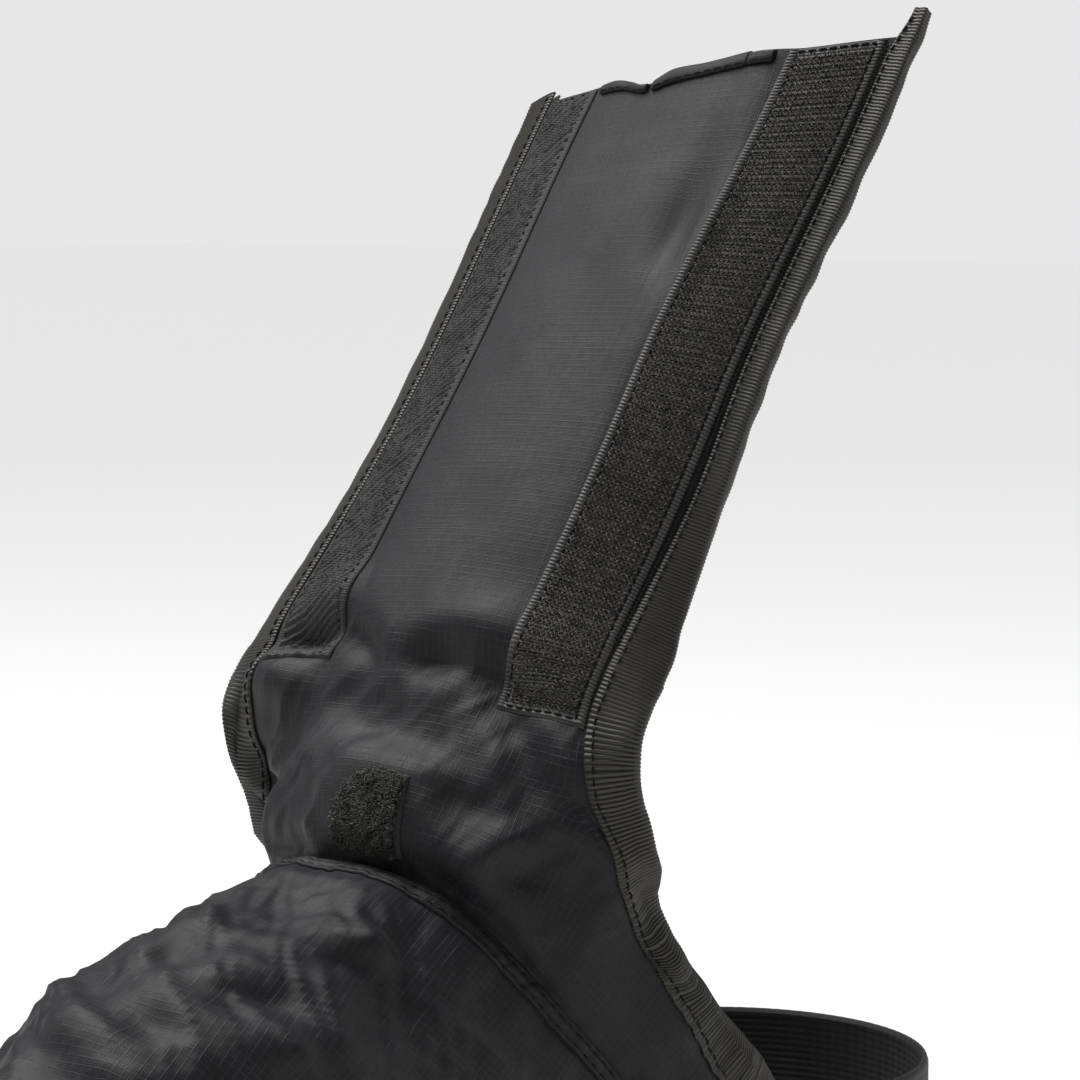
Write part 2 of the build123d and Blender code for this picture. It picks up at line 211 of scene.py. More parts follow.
def base_grid():
    """The CAD surface, with the panel and the ankle shaped as the photo shows them."""
    grid = np.array([[base_point(u, a) for a in A] for u in U])
    # Hook side of the panel: bowed in half way up, turned out and wrapped back; loop side: a slight sag.
    grid = shifted(grid, bump(U, 1.5, 0.28), smooth(A, 0.15, 0.8), (-4.0, -3.0, 0.0))
    grid = shifted(grid, smooth(U, 1.05, 1.5), smooth(A, 0.35, 1.0), (2.2, -2.8, 0.0))
    grid = wrap_hook_side(grid)
    grid = shifted(grid, bump(U, 1.55, 0.3), smooth(-A, 0.2, 0.9), (1.0, -0.6, 0.0))
    instep = smooth(U, -0.85, -0.25) * (1 - smooth(U, 0.0, 0.45))
    grid = shifted(grid, instep, 1 - smooth(abs(A + 0.05), 0.30, 0.80), (0.0, 1.0, 4.6))
    # Loop side of the ankle: hollow above the seam, its edge drawn forward at the fold and below it.
    waist = smooth(U, 0.02, 0.30) * (1 - smooth(U, 0.62, 0.95))
    grid = shifted(grid, waist, bump(A, -0.64, 0.24) * smooth(1 + A, 0.02, 0.32), (8.0, 4.0, 0.0))
    grid = shifted(grid, bump(U, 1.0, 0.30), smooth(-A, 0.45, 1.0), (-3.5, -8.0, 0.0))
    grid = shifted(grid, bump(U, 0.60, 0.46), smooth(-A, 0.35, 1.0), (-0.5, -3.5, 0.0))
    fold = bump(U, 1.0, 0.10)[:, None, None]
    return grid * (1 - fold) + blur(grid, FOLD_BLUR) * fold


def grid_normals(grid):
    along = np.gradient(grid, axis=0)
    across = np.gradient(grid, axis=1)
    return unit(np.cross(across, along))


def blur(table, passes):
    for _ in range(passes):
        wide = np.pad(table, [(1, 1), (1, 1)] + [(0, 0)] * (table.ndim - 2), mode="edge")
        table = (table * 2 + wide[:-2, 1:-1] + wide[2:, 1:-1] + wide[1:-1, :-2] + wide[1:-1, 2:]) / 6
    return table


def upsample(grid, factors):
    """Smooth refinement of a grid, rows and columns."""
    for axis, factor in enumerate(factors):
        grid = np.moveaxis(grid, axis, 0)
        ends = np.concatenate([2 * grid[:1] - grid[1:2], grid, 2 * grid[-1:] - grid[-2:-1]])
        p0, p1, p2, p3 = ends[:-3], ends[1:-2], ends[2:-1], ends[3:]
        steps = [spline(p0, p1, p2, p3, k / factor) for k in range(factor)]
        fine = np.stack(steps, 1).reshape((-1,) + grid.shape[1:])
        grid = np.moveaxis(np.concatenate([fine, grid[-1:]]), 0, axis)
    return grid


class Skin:
    """A finished grid that trims are laid on: read it anywhere by (u, a)."""

    def __init__(self, points, passes=2):
        self.points = points
        self.normals = unit(blur(grid_normals(points), passes))

    def read(self, table, u, a):
        u, a = np.broadcast_arrays(np.asarray(u, float), np.asarray(a, float))
        row = np.where(u < 0, (u + 1) * VAMP_ROWS,
                       np.where(u < 1, VAMP_ROWS + u * ANKLE_ROWS,
                                VAMP_ROWS + ANKLE_ROWS + (u - 1) * PANEL_ROWS)) * FINE
        col = (a + 1) / 2 * (COLS - 1) * FINE
        i = np.clip(np.floor(row).astype(int), 0, table.shape[0] - 2)
        j = np.clip(np.floor(col).astype(int), 0, table.shape[1] - 2)
        f, g = (row - i)[..., None], (col - j)[..., None]
        return ((table[i, j] * (1 - g) + table[i, j + 1] * g) * (1 - f)
                + (table[i + 1, j] * (1 - g) + table[i + 1, j + 1] * g) * f)

    def normal(self, u, a):
        return unit(self.read(self.normals, u, a))

    def at(self, u, a, lift=0.0):
        return self.read(self.points, u, a) + self.normal(u, a) * np.asarray(lift, float)[..., None]


RELAX = 1.5            # share of each correction that is taken, over 1 to settle sooner


def flatten(points, passes=900):
    """Lays a curved grid out flat with little stretch, in metres."""
    mid = points.shape[1] // 2
    across = np.linalg.norm(np.diff(points, axis=1), axis=2)
    x = np.pad(np.cumsum(across, 1), [(0, 0), (1, 0)])
    x = x - x[:, mid:mid + 1]
    y = measured(points[:, mid])
    flat = np.stack([x, np.broadcast_to(y[:, None], x.shape)], 2)
    low, high, every = slice(None, -1), slice(1, None), slice(None)
    links = [((low, every), (high, every)), ((every, low), (every, high)),
             ((low, low), (high, high)), ((low, high), (high, low))]
    rests = [np.linalg.norm(points[b] - points[a], axis=2, keepdims=True) for a, b in links]
    for _ in range(passes):
        move = np.zeros_like(flat)
        count = np.zeros(flat.shape[:2] + (1,))
        for (a, b), rest in zip(links, rests):
            d = flat[b] - flat[a]
            pull = 0.5 * (1 - rest / np.maximum(np.linalg.norm(d, axis=2, keepdims=True), 1e-9)) * d
            move[a] += pull
            move[b] -= pull
            count[a] += 1
            count[b] += 1
        flat = flat + RELAX * move / count
    return flat


# ---------- folds and crinkles
def lattice_noise(p, seed):
    """Smooth noise of a (..., 2) table of places, from -1 to 1."""
    cell = np.floor(p).astype(np.int64)
    f = p - cell
    w = f * f * f * (f * (f * 6 - 15) + 10)

    def corner(di, dj):
        h = (cell[..., 0] + di) * 374761393 + (cell[..., 1] + dj) * 668265263 + seed * 974711
        h = (h ^ (h >> 13)) * 1274126177
        turn = ((h ^ (h >> 16)) & 0xFFFF) / 65536.0 * 2 * math.pi
        return np.cos(turn) * (f[..., 0] - di) + np.sin(turn) * (f[..., 1] - dj)

    low = corner(0, 0) * (1 - w[..., 0]) + corner(1, 0) * w[..., 0]
    high = corner(0, 1) * (1 - w[..., 0]) + corner(1, 1) * w[..., 0]
    return (low * (1 - w[..., 1]) + high * w[..., 1]) * 1.5


def turned(flat, degrees, long, short):
    """Flat places in units of a fold's length and width, along a slanted direction."""
    c, s = math.cos(math.radians(degrees)), math.sin(math.radians(degrees))
    x = (flat[..., 0] * c + flat[..., 1] * s) / (long * MM)
    y = (-flat[..., 0] * s + flat[..., 1] * c) / (short * MM)
    return np.stack([x, y], -1)


def ridges(flat, degrees, long, short, seed):
    """Creased folds: sharp crests between soft valleys, about -0.5 to 0.5."""
    p = turned(flat, degrees, long, short)
    warp = np.stack([lattice_noise(p * 0.7 + 3.1, seed + 5), lattice_noise(p * 0.7 - 7.7, seed + 6)], -1)
    return 0.5 - 1.6 * abs(lattice_noise(p + 0.45 * warp, seed))


def soft_waves(flat, degrees, long, short, seed):
    """Rounded folds, from -1 to 1."""
    return lattice_noise(turned(flat, degrees, long, short), seed)


def fold_line(flat, start, end, width, height):
    """One fold between two flat places, in mm, tapering at both ends."""
    a, b = np.array(start) * MM, np.array(end) * MM
    d = b - a
    t = np.clip(((flat - a) @ d) / (d @ d), 0, 1)
    gap = np.linalg.norm(flat - a - t[..., None] * d, axis=-1)
    return height * np.exp(-(gap / (width * MM)) ** 2) * np.sin(np.pi * (0.12 + 0.76 * t)) ** 1.5


def layered(flat, layers):
    """Sum of layers of folds, in mm."""
    return sum(height * kind(flat, degrees, long, short, SEED + seed)
               for height, kind, degrees, long, short, seed in layers)


# ---------- mesh helpers
def add_object(name, data, place=(0, 0, 0)):
    obj = bpy.data.objects.new(name, data)
    bpy.context.scene.collection.objects.link(obj)
    obj.location = place
    return obj


def make_mesh(name, verts, faces, uv=None, normals=None):
    mesh = bpy.data.meshes.new(name)
    mesh.from_pydata(verts.tolist(), [], faces)
    if uv is not None:
        layer = mesh.uv_layers.new(name="UVMap")
        loops = np.zeros(len(mesh.loops), np.int32)
        mesh.loops.foreach_get("vertex_index", loops)
        layer.data.foreach_set("uv", uv[loops].astype(np.float32).ravel())
    mesh.shade_smooth()
    if normals is not None:
        mesh.normals_split_custom_set_from_vertices(normals.tolist())
    mesh.update()
    return add_object(name, mesh)


def cell_quads(rows, cols):
    """Corners of every cell of a grid of points."""
    index = np.arange(rows * cols).reshape(rows, cols)
    return columns(index[:-1, :-1], index[:-1, 1:], index[1:, 1:], index[1:, :-1])


def ring_quads(index):
    """Faces of tubes, from tables of point numbers: (..., stations, points round the ring)."""
    after = np.roll(index, -1, -1)
    sides = (index[..., :-1, :], after[..., :-1, :], after[..., 1:, :], index[..., 1:, :])
    return columns(*sides).reshape(-1, 4).tolist()


def grid_object(name, grid):
    """Open single-layer mesh of a point grid, for the simulation only."""
    quads = cell_quads(*grid.shape[:2])
    return make_mesh(name, grid.reshape(-1, 3), quads.reshape(-1, 4).tolist())


def cloth_object(name, skin, keep, uv):
    """Closed two-sided cloth over the kept cells of the finished grid."""
    rows, cols = skin.points.shape[:2]
    quads = cell_quads(rows, cols)[keep]
    used = np.unique(quads)
    remap = np.full(rows * cols, -1)
    remap[used] = np.arange(len(used))
    quads = remap[quads]
    edges = np.concatenate([quads[:, [k, (k + 1) % 4]] for k in range(4)])
    _, first, count = np.unique(np.sort(edges, 1), axis=0, return_index=True, return_counts=True)
    rim = edges[first[count == 1]]
    n = len(used)
    points, normals, exact, flat = (table.reshape(len(remap), -1)[used] for table in (
        skin.points, skin.normals, unit(grid_normals(skin.points)), uv))
    verts = np.concatenate([points + normals * CLOTH_HALF, points - normals * CLOTH_HALF])
    walls = columns(rim[:, 1], rim[:, 0], rim[:, 0] + n, rim[:, 1] + n)
    faces = quads.tolist() + (quads[:, ::-1] + n).tolist() + walls.tolist()
    return make_mesh(name, verts, faces, np.concatenate([flat, flat]), np.concatenate([exact, -exact]))


def lattice(name, rings, uv):
    """Closed solid through rings of points, (stations, points, 3), with both ends capped."""
    index = np.arange(rings.shape[0] * rings.shape[1]).reshape(rings.shape[:2])
    caps = [index[0][::-1].tolist(), index[-1].tolist()]
    obj = make_mesh(name, rings.reshape(-1, 3), ring_quads(index) + caps, uv.reshape(-1, 2))
    fix_outward(obj.data, rings.reshape(-1, 3).mean(0))
    return obj


def fix_outward(mesh, middle):
    """Turns a closed mesh right side out, judged from a sample of its faces."""
    sample = list(mesh.polygons)[::max(1, len(mesh.polygons) // 4000)]
    volume = sum(float(np.dot(np.array(p.center) - middle, np.array(p.normal)) * p.area) for p in sample)
    if volume < 0:
        mesh.flip_normals()


def tubes(name, centres, up, radius, sides=5):
    """Many short closed tubes: centres (tubes, stations, 3), up (tubes, 3), radius per station."""
    k, n = centres.shape[:2]
    t = unit(np.gradient(centres, axis=1))
    side = unit(np.cross(t, up[:, None, :]))
    lift = unit(np.cross(side, t))
    turn = np.arange(sides) / sides * 2 * math.pi
    r = np.broadcast_to(np.asarray(radius, float), (k, n))[..., None, None]
    ring = (np.cos(turn)[:, None] * side[:, :, None, :] + np.sin(turn)[:, None] * lift[:, :, None, :]) * r
    verts = (centres[:, :, None, :] + ring).reshape(-1, 3)
    index = np.arange(k * n * sides).reshape(k, n, sides)
    caps = np.concatenate([index[:, 0, ::-1], index[:, -1]])
    return make_mesh(name, verts, ring_quads(index) + caps.tolist())


# ---------- cloth simulation
SIM_TOP = 1.10         # rows above this are held
SIM_FRAMES = 30
SIM_CAP = 6.0 * MM     # furthest that the simulation may move a point
FORM_GAP = 5.0 * MM    # hidden foot form below the cloth
START_HEIGHT = 2.2 * MM
SIM_BLUR = 3
PATCH_MID_A = 0.085    # column place of the middle of the loop patch
# Layers of folds: height in mm, kind, direction in degrees, length and width in mm, seed.
START_LAYERS = [(0.6, soft_waves, -35, 34, 17, 0), (1.0, ridges, -20, 40, 20, 9),
                (0.35, soft_waves, 50, 22, 12, 4)]
CLOTH_SETTINGS = {"quality": 5, "mass": 0.12, "tension_stiffness": 30, "compression_stiffness": 30,
                  "shear_stiffness": 12, "bending_stiffness": 0.25, "tension_damping": 15,
                  "compression_damping": 15, "shear_damping": 12, "bending_damping": 0.6,
                  "air_damping": 4, "vertex_group_mass": "hold", "vertex_group_shrink": "slack",
                  "shrink_min": 0.0, "shrink_max": -0.05}


def patch_calm(u, a):
    """1 where the loop patch is sewn on and stiffens the cloth, 0 away from it."""
    rows = smooth(u, -0.02, 0.14) * (1 - smooth(u, 0.66, 0.9))
    return rows * (1 - smooth(abs(a - PATCH_MID_A), 0.10, 0.26))


def held_rows(rows, shape):
    """1 where the cloth is held: its edges, the instep seam and the shin panel."""
    hold = np.zeros(shape)
    hold[:4] = 1
    hold[:, :3] = 1
    hold[:, -3:] = 1
    hold = np.maximum(hold, (rows > SIM_TOP) * 1.0)
    return np.maximum(hold, (abs(rows) < 0.02) * 1.0)


def settle_cloth(grid, flat):
    """Slack cloth settled over a hidden foot form; returns the settled grid."""
    last = int(np.searchsorted(U, SIM_TOP + 0.08))
    rows, part, normals = U[:last][:, None], grid[:last], grid_normals(grid)[:last]
    form = grid_object("foot_form", part - normals * FORM_GAP)
    form.modifiers.new("Collision", "COLLISION")
    form.collision.thickness_outer = 0.001
    form.collision.cloth_friction = 20
    hold = held_rows(rows, part.shape[:2])
    free = 1 - blur(hold, SIM_BLUR)
    start = part + normals * (layered(flat[:last], START_LAYERS) * free)[..., None] * START_HEIGHT
    cloth = grid_object("settling_cloth", start)
    pin = cloth.vertex_groups.new(name="hold")
    slack = cloth.vertex_groups.new(name="slack")
    amount = np.broadcast_to(smooth(abs(rows), 0.02, 0.3), hold.shape) * free
    for i, (h, s) in enumerate(zip(hold.ravel(), amount.ravel())):
        if h > 0:
            pin.add([i], float(h), "REPLACE")
        slack.add([i], float(s), "REPLACE")
    mod = cloth.modifiers.new("Cloth", "CLOTH")
    for key, value in CLOTH_SETTINGS.items():
        setattr(mod.settings, key, value)
    mod.settings.effector_weights.gravity = 0.05
    mod.collision_settings.distance_min = 0.001
    mod.collision_settings.use_self_collision = False
    mod.collision_settings.collision_quality = 2
    scene = bpy.context.scene
    scene.frame_start, scene.frame_end = 1, SIM_FRAMES
    mod.point_cache.frame_start, mod.point_cache.frame_end = 1, SIM_FRAMES
    for f in range(1, SIM_FRAMES + 1):
        scene.frame_set(f)
    settled = cloth.evaluated_get(bpy.context.evaluated_depsgraph_get())
    moved = np.array([v.co for v in settled.data.vertices], float).reshape(part.shape)
    scene.frame_set(1)
    for mesh in (cloth.data, form.data):       # their objects go with them
        bpy.data.meshes.remove(mesh)
    move = blur(moved - part, SIM_BLUR)
    move *= 1 - 0.8 * patch_calm(rows, A[None, :])[..., None]
    size = np.linalg.norm(move, axis=2, keepdims=True)
    move *= np.minimum(1, SIM_CAP / np.maximum(size, 1e-9))
    result = grid.copy()
    result[:last] = part + move
    return result


# ---------- the finished cloth
rough_grid = base_grid()
VAMP_STEP, UPPER_STEP = (4, 4), (2, 4)      # rows and columns skipped while flattening
vamp_flat = upsample(flatten(rough_grid[:VAMP_ROWS + 1:4, ::4]), VAMP_STEP)
upper_flat = upsample(flatten(rough_grid[VAMP_ROWS::2, ::4]), UPPER_STEP)
rough_flat = np.concatenate([vamp_flat[:-1], upper_flat])
settled_grid = settle_cloth(rough_grid, rough_flat)
FINE_FLAT_VAMP = upsample(vamp_flat, (FINE, FINE))
FINE_FLAT_UPPER = upsample(upper_flat, (FINE, FINE))
fine_rows, fine_cols = (len(U) - 1) * FINE + 1, (COLS - 1) * FINE + 1
FINE_U = np.interp(np.arange(fine_rows) / FINE, np.arange(len(U)), U)[:, None]
FINE_A = np.linspace(-1, 1, fine_cols)[None, :]
first_upper = VAMP_ROWS * FINE
first_flap = (VAMP_ROWS + ANKLE_ROWS) * FINE + FLAP_ROWS

# Named folds: flat start and end (mm across from the centre line, mm up the piece), width, height.
VAMP_FOLDS = [((18, 178), (38, 180), 3.6, 1.6), ((20, 172), (40, 174), 3.6, -1.6),
              ((-10, 116), (16, 168), 6.0, 2.0), ((-12, 150), (-2, 180), 5.0, 1.6),
              ((0, 140), (30, 160), 5.0, -1.6), ((12, 128), (48, 165), 6.0, 1.8),
              ((-45, 120), (-15, 150), 6.0, 2.0), ((-60, 150), (-28, 165), 5.0, 1.6),
              ((-20, 60), (25, 95), 6.0, 1.8), ((-40, 90), (-5, 80), 5.0, -1.6)]
UPPER_FOLDS = [((-52, 45), (-24, 40), 6.0, 3.2), ((-22, 40), (9, 30), 8.0, -3.4),
               ((-20, 52), (4, 46), 4.5, 1.4), ((18, 46), (30, 35), 5.0, -2.2),
               ((33, 44), (42, 24), 5.0, 2.2), ((20, 40), (35, 13), 5.0, 1.8),
               ((26, 4), (40, 20), 4.0, 1.6), ((-40, 30), (-30, 6), 7.0, 2.2),
               ((-48, 34), (-44, 12), 4.5, -2.2), ((48, 30), (66, 8), 6.0, 1.8),
               ((56, 34), (80, 12), 6.0, -1.8), ((-60, 30), (-85, 8), 6.0, 2.0),
               ((-46, 50), (-24, 55), 4.0, -3.0), ((-24, 55), (-8, 47), 4.0, -3.2),
               ((-8, 47), (14, 49), 4.5, -2.8), ((14, 49), (40, 42), 4.0, -2.6),
               ((-40, 62), (-22, 64), 6.0, 1.6), ((2, 58), (26, 56), 6.0, 1.6)]
VAMP_FOLD_SCALE, UPPER_FOLD_SCALE = 1.35, 1.3
VAMP_LAYERS = [(1.5, ridges, -28, 34, 13, 0), (0.8, ridges, 12, 26, 9, 20),
               (1.6, soft_waves, -40, 50, 26, 2), (0.55, ridges, -50, 16, 5.5, 30)]
UPPER_LAYERS = [(1.7, soft_waves, 62, 46, 20, 40), (0.8, ridges, 75, 40, 15, 41),
                (0.5, soft_waves, 20, 20, 10, 42)]
UPPER_CREASES = [(0.35, ridges, 60, 16, 5.5, 46)]


def vamp_detail(edge):
    """Height of the small folds over the vamp, mm."""
    rows, flat = FINE_U[:first_upper + 1], FINE_FLAT_VAMP
    calm = smooth(-rows, 0.03, 0.16) * smooth(1 + rows, 0.0, 0.12) * edge
    height = layered(flat, VAMP_LAYERS) * calm
    for fold in VAMP_FOLDS:
        height = height + VAMP_FOLD_SCALE * fold_line(flat, *fold)
    near_seam = smooth(-rows, 0.0, 0.03) * bump(rows, -0.08, 0.08) * edge
    return height + 0.4 * near_seam * soft_waves(flat, 90, 12, 4.2, SEED + 45)


def upper_detail(edge):
    """Height of the small folds over the ankle and the shin panel, mm."""
    rows, flat = FINE_U[first_upper:], FINE_FLAT_UPPER
    slack = smooth(rows, 0.03, 0.35) * (1 - smooth(rows, 0.95, 1.25)) * edge
    height = layered(flat, UPPER_LAYERS) * slack
    height = height + 0.5 * soft_waves(flat, 85, 70, 22, SEED + 43) * smooth(rows, 1.1, 1.3) * edge
    # A dent on the inner side of the hook tape, and the crest beside it under the tape.
    for depth, row, column, width in ((-2.5, 1.74, 0.40, 0.10), (1.2, 1.72, 0.53, 0.05)):
        height = height + depth * bump(rows, row, 0.10) * bump(FINE_A, column, width)
    pucker = bump(rows, 0.05, 0.07) * (1 - smooth(abs(FINE_A), 0.85, 0.97))
    height = height + 0.7 * pucker * soft_waves(flat, 90, 14, 4.0, SEED + 44)
    for fold in UPPER_FOLDS:
        height = height + UPPER_FOLD_SCALE * fold_line(flat, *fold)
    height = height + layered(flat, UPPER_CREASES) * slack
    return height * (1 - 0.85 * patch_calm(rows, FINE_A))


fine_rough = upsample(rough_grid, (FINE, FINE))
edge_calm = smooth(1 - abs(FINE_A), 0.0, 0.10)
heights = np.concatenate([vamp_detail(edge_calm)[:-1], upper_detail(edge_calm)]) * MM
finished = upsample(settled_grid, (FINE, FINE)) + unit(blur(grid_normals(fine_rough), 4)) * heights[..., None]
notch = bump(FINE_A, -0.12, 0.10) * smooth(FINE_U, 1.93, 2.0)
finished = finished - notch[..., None] * np.array([0, 0.6, 0.8]) * 2.6 * MM
SMOOTH_SKIN = Skin(fine_rough, 3)           # to walk over
CLOTH = Skin(finished, 1)                   # the cloth pieces
TRIM = Skin(finished, 5)                    # what is sewn on lies on this one

# ---------- what carries the pieces
PANEL_RISE = unit(np.array(panel(1, 0)) - np.array(panel(0, 0)))


def bend_between():
    """A function that bakes a piece's placement into its mesh, fixing it to no body."""
    def carry(obj):
        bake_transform(obj)
    return carry


def ride_on(body):
    """A function that fixes a piece to one body."""
    def carry(obj):
        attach(obj, body)
    return carry


HOOK_SIDE, LOOP_SIDE = 1, -1
bend_ankle = bend_between()
bend_flap = {HOOK_SIDE: bend_between(),
             LOOP_SIDE: bend_between()}


def dress(obj, material, carry, replaced=None):
    """Gives a piece its material and slot, what carries it, and the CAD node that it replaces."""
    obj.data.materials.append(material)
    carry(obj)
    if replaced:
        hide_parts(replaced)
    return obj


# ---------- paths over the cloth
STEP_LIMIT = 0.03      # longest step of a walk, in rows or columns
U_TOP = 2.04           # a little past the top edge


def half_length(u):
    """Half width of the panel along the cloth at row place u."""
    p = SMOOTH_SKIN.at(np.asarray(u)[..., None], np.linspace(0, 1, 21))
    return np.linalg.norm(np.diff(p, axis=-2), axis=-1).sum(-1)


def even_path(u, a, pitch):
    """Row and column places along a path, evenly spaced along its length."""
    s = measured(TRIM.at(u, a))
    t = np.linspace(0, s[-1], max(int(s[-1] / pitch), 2))
    return np.interp(t, s, u), np.interp(t, s, a), t


def edge_frame(u, a, side, step=0.02):
    """Directions up along a free edge of the cloth, and from it inward over the cloth."""
    rise = unit(SMOOTH_SKIN.at(np.minimum(u + step, U_TOP), a) - SMOOTH_SKIN.at(u - step, a))
    return rise, unit(np.cross(rise, SMOOTH_SKIN.normal(u, a)) * -side)


MARCH_DAMP = 2e-5      # keeps the walk steady in the toe corners, where the grid lines bunch


def march(u, a, heading, distances):
    """Walks over the cloth from an edge along a heading; (places, distances) tables of u and a."""
    us, all_a, gone, e = [u], [a], 0.0, 2e-3
    for d in distances[1:]:
        steps = max(int(math.ceil(np.max(d - gone) / (1.5 * MM))), 1)
        for _ in range(steps):
            n = SMOOTH_SKIN.normal(u, a)
            pu = (SMOOTH_SKIN.at(u + e, a) - SMOOTH_SKIN.at(u - e, a)) / (2 * e)
            pa = (SMOOTH_SKIN.at(u, a + e) - SMOOTH_SKIN.at(u, a - e)) / (2 * e)
            way = unit(heading - n * dot(heading, n))
            uu, ua, aa = (pu * pu).sum(-1), (pu * pa).sum(-1), (pa * pa).sum(-1)
            wu, wa = (way * pu).sum(-1), (way * pa).sum(-1)
            uu, aa = uu + MARCH_DAMP, aa + MARCH_DAMP
            det = uu * aa - ua * ua
            step = np.asarray(d - gone) / steps
            du = np.clip(step * (wu * aa - wa * ua) / det, -STEP_LIMIT, STEP_LIMIT)
            da = np.clip(step * (wa * uu - wu * ua) / det, -STEP_LIMIT, STEP_LIMIT)
            u, a = np.clip(u + du, -1, U_TOP), np.clip(a + da, -1, 1)
        gone = d
        us.append(u)
        all_a.append(a)
    return np.stack(us, -1), np.stack(all_a, -1)


STITCH_START = 0.6 * MM
# A stitch: height above the cloth in mm, and share of the thread's thickness, at five stations.
STITCH_RISE = np.array([-0.22, 0.07, 0.13, 0.07, -0.22]) * MM
STITCH_SWELL = np.array([0.6, 1.0, 1.05, 1.0, 0.6])


def sew(name, carry, u, a, lift, pitch=2.6, length=2.1, thick=0.2, face=1):
    """Row of thread stitches along a path over the cloth, each end dipping into it; sizes in mm."""
    line, normals = TRIM.at(u, a, face * lift * MM), TRIM.normal(u, a) * face
    s = measured(line)
    first = np.arange(STITCH_START, s[-1] - length * MM, pitch * MM)
    place = first[:, None] + np.linspace(0, length * MM, 5)[None, :]
    pts = np.stack([np.interp(place, s, line[:, k]) for k in range(3)], -1)
    nrm = unit(np.stack([np.interp(place, s, normals[:, k]) for k in range(3)], -1))
    stitches = tubes(name, pts + nrm * STITCH_RISE[:, None], nrm[:, 2], STITCH_SWELL * thick * MM, 6)
    dress(stitches, THREAD, carry)


# Folded tape section. Leaf: share of the width, lift in mm, rib push. Round: mm past the edge, lift.
LEAF = [(1.0, 0.55, 0), (0.985, 0.98, 0.6), (0.85, 1.12, 1), (0.6, 1.2, 1), (0.35, 1.2, 1),
        (0.14, 1.16, 1), (0.0, 1.08, 1)]
ROUND = [(-0.42, 0.88), (-0.74, 0.48), (-0.85, 0.0), (-0.74, -0.48), (-0.42, -0.88)]
INSIDE = [(1.0, -0.42), (0.35, -0.42), (0.0, -0.42), (0.0, 0.42), (0.35, 0.42), (1.0, 0.42)]
SHARES = (0.0, 0.14, 0.35, 0.6, 0.85, 0.985, 1.0)
SEAM_COLUMN = 4        # the share where the stitches run
RIB = 0.84             # rib pitch of the grosgrain
STEP = RIB * MM / 4    # four stations to a rib
PUFF_LENGTH = 9 * MM


def folded_tape(name, u, a, heading, widths, rib=0.12, wave=0.25, seed=0, crown=0.0):
    """Folded tape round a cloth edge; u, a and heading are evenly spaced along the edge."""
    widths = np.broadcast_to(np.asarray(widths, float), u.shape) * MM
    us, all_a = march(u, a, heading, [widths * s for s in SHARES])
    edge, face = TRIM.at(u, a), TRIM.normal(u, a)
    t = measured(edge)
    crown = np.broadcast_to(np.asarray(crown, float), t.shape)
    ribs = np.cos(t / (RIB * MM) * 2 * math.pi) * rib
    puff = lattice_noise(columns(t / PUFF_LENGTH, 0.37), 70 + seed) * wave
    out = unit(edge - TRIM.at(us[:, 1], all_a[:, 1]))
    rings, flats = [], []

    def leaf(share, lift, push, sign):
        k = SHARES.index(share)
        swell = push * (ribs + abs(puff) * (1.3 - share)) + crown * float(smooth(0.62 - share, 0.0, 0.45))
        rings.append(TRIM.at(us[:, k], all_a[:, k], sign * (lift + swell) * MM))
        flats.append(columns(t, share * widths))

    for share, lift, push in LEAF:
        leaf(share, lift, push, 1)
    for past, lift in ROUND:
        swell = (ribs * 0.9 + puff * 1.6) * MM
        way = unit(out * -past + face * lift * 0.6)
        full = (1 + 0.55 * crown)[:, None]
        rings.append(edge + (out * -past + face * lift) * full * MM + way * swell[:, None])
        flats.append(columns(t, past * MM))
    for share, lift, push in LEAF[::-1]:
        leaf(share, lift, push, -1)
    for share, lift in INSIDE:
        k = SHARES.index(share)
        inward = out * (0.12 * MM) if share == 0.0 else 0.0
        rings.append(TRIM.at(us[:, k], all_a[:, k], lift * MM) + inward)
        flats.append(columns(t, share * widths))
    obj = lattice(name, np.stack(rings, 1), np.stack(flats, 1))
    return obj, (us[:, SEAM_COLUMN], all_a[:, SEAM_COLUMN])


SLAB_BOTTOM = 0.36     # underside of a strip sewn on the cloth, mm above its middle


def slab(name, u, a, top, uv):
    """Flat strip on the cloth: u, a, top in mm and uv per (station, point)."""
    pick = np.linspace(u.shape[1] - 1, 0, 4).round().astype(int)
    upper, under = TRIM.at(u, a, top * MM), TRIM.at(u[:, pick], a[:, pick], SLAB_BOTTOM * MM)
    return lattice(name, np.concatenate([upper, under], 1), np.concatenate([uv, uv[:, pick]], 1))


# ---------- materials
def feed(tree, socket, value):
    """Sets a socket, or links another node's output to it."""
    if isinstance(value, bpy.types.NodeSocket):
        tree.links.new(value, socket)
    else:
        socket.default_value = value


def add_node(tree, kind, inputs, output=0, **settings):
    """Adds a node, feeds its inputs by name or number, and returns one of its outputs."""
    node = tree.nodes.new("ShaderNode" + kind)
    for key, value in settings.items():
        setattr(node, key, value)
    for key, value in inputs.items():
        feed(tree, node.inputs[key], value)
    return node.outputs[output]


def new_material(name, colour, roughness, sheen=0.0, sheen_rough=0.4, specular=0.5):
    m = bpy.data.materials.new(name)
    m.use_nodes = True
    shader = m.node_tree.nodes["Principled BSDF"]
    shader.inputs["Base Color"].default_value = (*colour, 1)
    shader.inputs["Roughness"].default_value = roughness
    shader.inputs["Sheen Weight"].default_value = sheen
    shader.inputs["Sheen Roughness"].default_value = sheen_rough
    shader.inputs["Specular IOR Level"].default_value = specular
    return m, m.node_tree, shader


def math_node(tree, operation, *values):
    return add_node(tree, "Math", dict(enumerate(values)), operation=operation)


